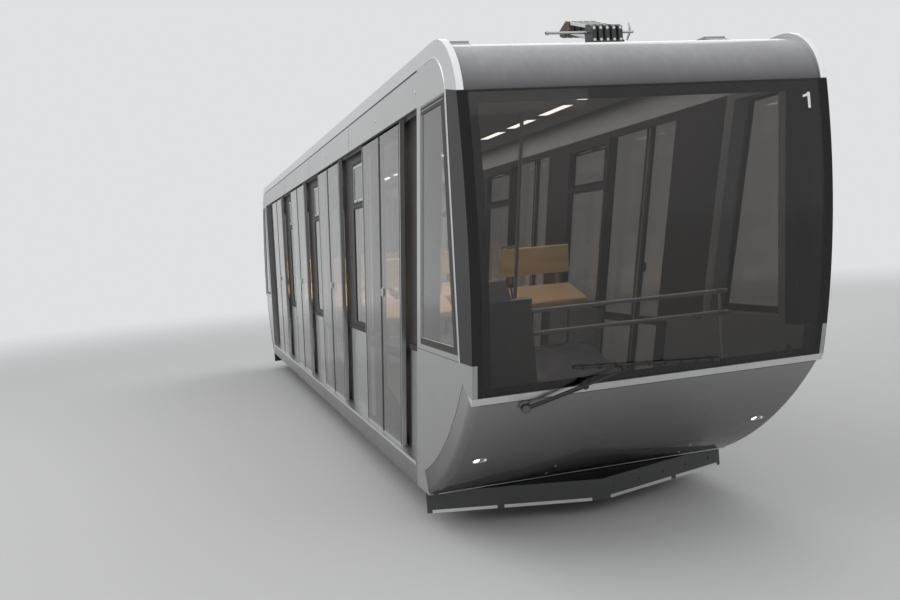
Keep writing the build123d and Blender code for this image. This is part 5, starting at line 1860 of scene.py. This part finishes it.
def buildDesk(end, look):
    near = barX(end) + end * look["gap"]
    x0, x1 = sorted((near, near + end * look["depth"]))
    outer = -end * (car["wallInner"] - look["fromWall"])
    y0, y1 = sorted((outer, outer + end * look["width"]))
    z = car["railTop"] + look["rise"]
    bm = bmesh.new()  # worktop with rounded edges, door of the cabinet, and its plinth line
    addBlock(bm, (x0 - 0.006, y0 - 0.004, z - 0.006), (x1 + 0.006, y1 + 0.006, z + look["top"]))
    face, backX = (x0, x1) if end > 0 else (x1, x0)
    addPrism(bm, [(face, z - 0.52), (face - end * 0.008, z - 0.52), (face - end * 0.008, z - 0.05),
                  (face, z - 0.05)], y0 + 0.025, y1 - 0.025)
    top = look["top"]
    hood = [(0.010, top), (0.085, top), (0.098, top + 0.110), (0.086, top + 0.116)]
    addPrism(bm, [(backX - end * a, z + b) for a, b in hood], y0 + 0.030, y0 + 0.215)
    finishPiece(bm, f"deskTop-{endName(end)}", "deskPaint", 0.004)

    bm = bmesh.new()  # lever
    lever = Vector(((x0 + x1) / 2 - end * 0.045, y1 - 0.060, z + top))
    addLathe(bm, [(0.026, -0.001), (0.026, 0.004), (0.020, 0.007)], lever, zAxis, 20)
    addRod(bm, lever, lever + Vector((-end * 0.018, 0.0, 0.070)), 0.0055, 12)
    bmesh.ops.create_uvsphere(bm, u_segments=16, v_segments=10, radius=0.014,
                              matrix=Matrix.Translation(lever + Vector((-end * 0.019, 0.0, 0.078))))
    finishPiece(bm, f"deskControls-{endName(end)}", "wiperBlack", 0.0015)

    bm = bmesh.new()
    for i in range(look["buttons"]):
        y = y0 + look["buttonStart"] + i * look["buttonPitch"]
        place = Vector(((x0 + x1) / 2 - end * 0.060, y, z + top))
        addLathe(bm, [(0.011, -0.001), (0.011, 0.003), (0.008, 0.0035), (0.008, 0.008), (0.005, 0.009)],
                 place, zAxis, 16)
    finishPiece(bm, f"deskButtons-{endName(end)}", "railSteel")

    bm = bmesh.new()  # screen, set in the hood's sloping face
    screen = [(0.0862, top + 0.012), (0.0960, top + 0.098), (0.0980, top + 0.0975), (0.0882, top + 0.0115)]
    addPrism(bm, [(backX - end * a, z + b) for a, b in screen], y0 + 0.042, y0 + 0.203)
    finishPiece(bm, f"deskScreen-{endName(end)}", "screenGlow", 0.0006)


for end in ends:
    buildDesk(end, deskLook)
print("stage: ceiling, rails and desks")

# Running gear: axle-box covers, rubber springs, brake discs, calipers, and the underframe's bolts and pipes
gearLook = {
    "wheelbase": 1.000,
    "axleHeight": 0.248,
    "frameInner": 0.665,
    "frameOuter": 0.735,
    "boxProud": 0.015,
    "coverShape": ((0.098, -0.002), (0.098, 0.012), (0.084, 0.020), (0.050, 0.024), (0.030, 0.024),
                   (0.026, 0.019)),
    "boltCircle": 0.078,
    "pads": 3,
    "padRise": 0.098,
    "padPitch": 0.015,
    "padThick": 0.009,
    "padHalf": 0.060,
    "discY": 0.230,
    "discRadius": 0.175,
    "pipeReach": 0.860,
    "pipeY": 0.70,
    "pipePitch": 0.040,
    "frameBoltStart": 0.30,
    "frameBoltPitch": 0.60,
}


def bogieX(end):
    low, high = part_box("bogie_uphill" if end > 0 else "bogie_downhill")
    return (low.x + high.x) / 2


def buildBogie(end, look):
    name = endName(end)
    node = f"bogie_{name}"
    x = bogieX(end)
    covers, bolts, pads, calipers = [bmesh.new() for _ in range(4)]
    padLow, padHigh = look["frameInner"] + 0.004, look["frameInner"] + 0.062
    circle, half = look["boltCircle"], look["padHalf"]
    for which, way in (("upper", 1), ("lower", -1)):
        wx = x + way * look["wheelbase"] / 2
        for side in sides:
            face = side * (look["frameOuter"] + look["boxProud"])
            place = Vector((wx, face, look["axleHeight"]))
            out = yAxis * side
            addLathe(covers, look["coverShape"], place, out, 28)
            for i in range(6):
                angle = math.pi / 6 + i * math.pi / 3
                spot = place + Vector((circle * math.cos(angle), 0.0, circle * math.sin(angle)))
                addBolt(bolts, spot + out * 0.018, out, 0.0085, 0.008)
            for i in range(look["pads"]):  # rubber and steel sandwich over the box
                z = look["axleHeight"] + look["padRise"] + i * look["padPitch"]
                yLow, yHigh = bandBetween((padLow, padHigh), side)
                addBlock(pads, (wx - half, yLow, z), (wx + half, yHigh, z + look["padThick"]))
        bm = bmesh.new()  # brake discs ride with the axle
        for side in sides:
            disc, radius = (wx, side * look["discY"], look["axleHeight"]), look["discRadius"]
            addLathe(bm, [(0.055, -0.020), (0.085, -0.018), (0.090, -0.011), (radius, -0.011),
                          (radius, 0.011), (0.090, 0.011), (0.085, 0.018), (0.055, 0.020)], disc, yAxis, 40)
        wheelset = f"wheelset_{name}_{which}"
        finishPiece(bm, f"brakeDiscs-{name}{which.capitalize()}", "wheelSteel", body=wheelset)
        for side in sides:  # calipers reach the discs from the bogie's crossbeam
            y = side * look["discY"]
            beam, reach = x + way * 0.128, wx - way * 0.120
            for offset in (-1, 1):
                yLow, yHigh = sorted((y + offset * 0.016, y + offset * 0.040))
                addBlock(calipers, (min(beam, reach), yLow, look["axleHeight"] + 0.070),
                         (max(beam, reach), yHigh, look["axleHeight"] + 0.125))
    finishPiece(covers, f"axleCovers-{name}", "framePaint", body=node)
    finishPiece(bolts, f"axleBolts-{name}", "bareBolt", body=node, slotName="wheel_steel")
    finishPiece(pads, f"axleSprings-{name}", "sealRubber", 0.002, node)
    finishPiece(calipers, f"brakeCalipers-{name}", "framePaint", 0.004, node)


for end in ends:
    buildBogie(end, gearLook)


def buildFrameDetails(look):
    low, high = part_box("underframe")
    bolts, pipes = bmesh.new(), bmesh.new()
    for side in sides:
        x = low.x + look["frameBoltStart"]
        while x < high.x - 0.2:
            for z in (low.z + 0.035, low.z + 0.100):
                addBolt(bolts, Vector((x, side * car["wallOuter"], z)), yAxis * side, 0.009, 0.007)
            x += look["frameBoltPitch"]
        reach, y = look["pipeReach"], side * look["pipeY"]  # the pipes stop short of the turning bogies
        pipe = [Vector((bogieX(end) - end * reach, y, low.z + 0.020)) for end in (-1, 1)]
        addTube(pipes, pipe, 0.014, 12)
        addTube(pipes, [point + yAxis * side * look["pipePitch"] for point in pipe], 0.009, 10)
    finishPiece(bolts, "frameBolts", "bareBolt", slotName="wheel_steel")
    finishPiece(pipes, "framePipes", "framePaint")


buildFrameDetails(gearLook)
print("stage: running gear")
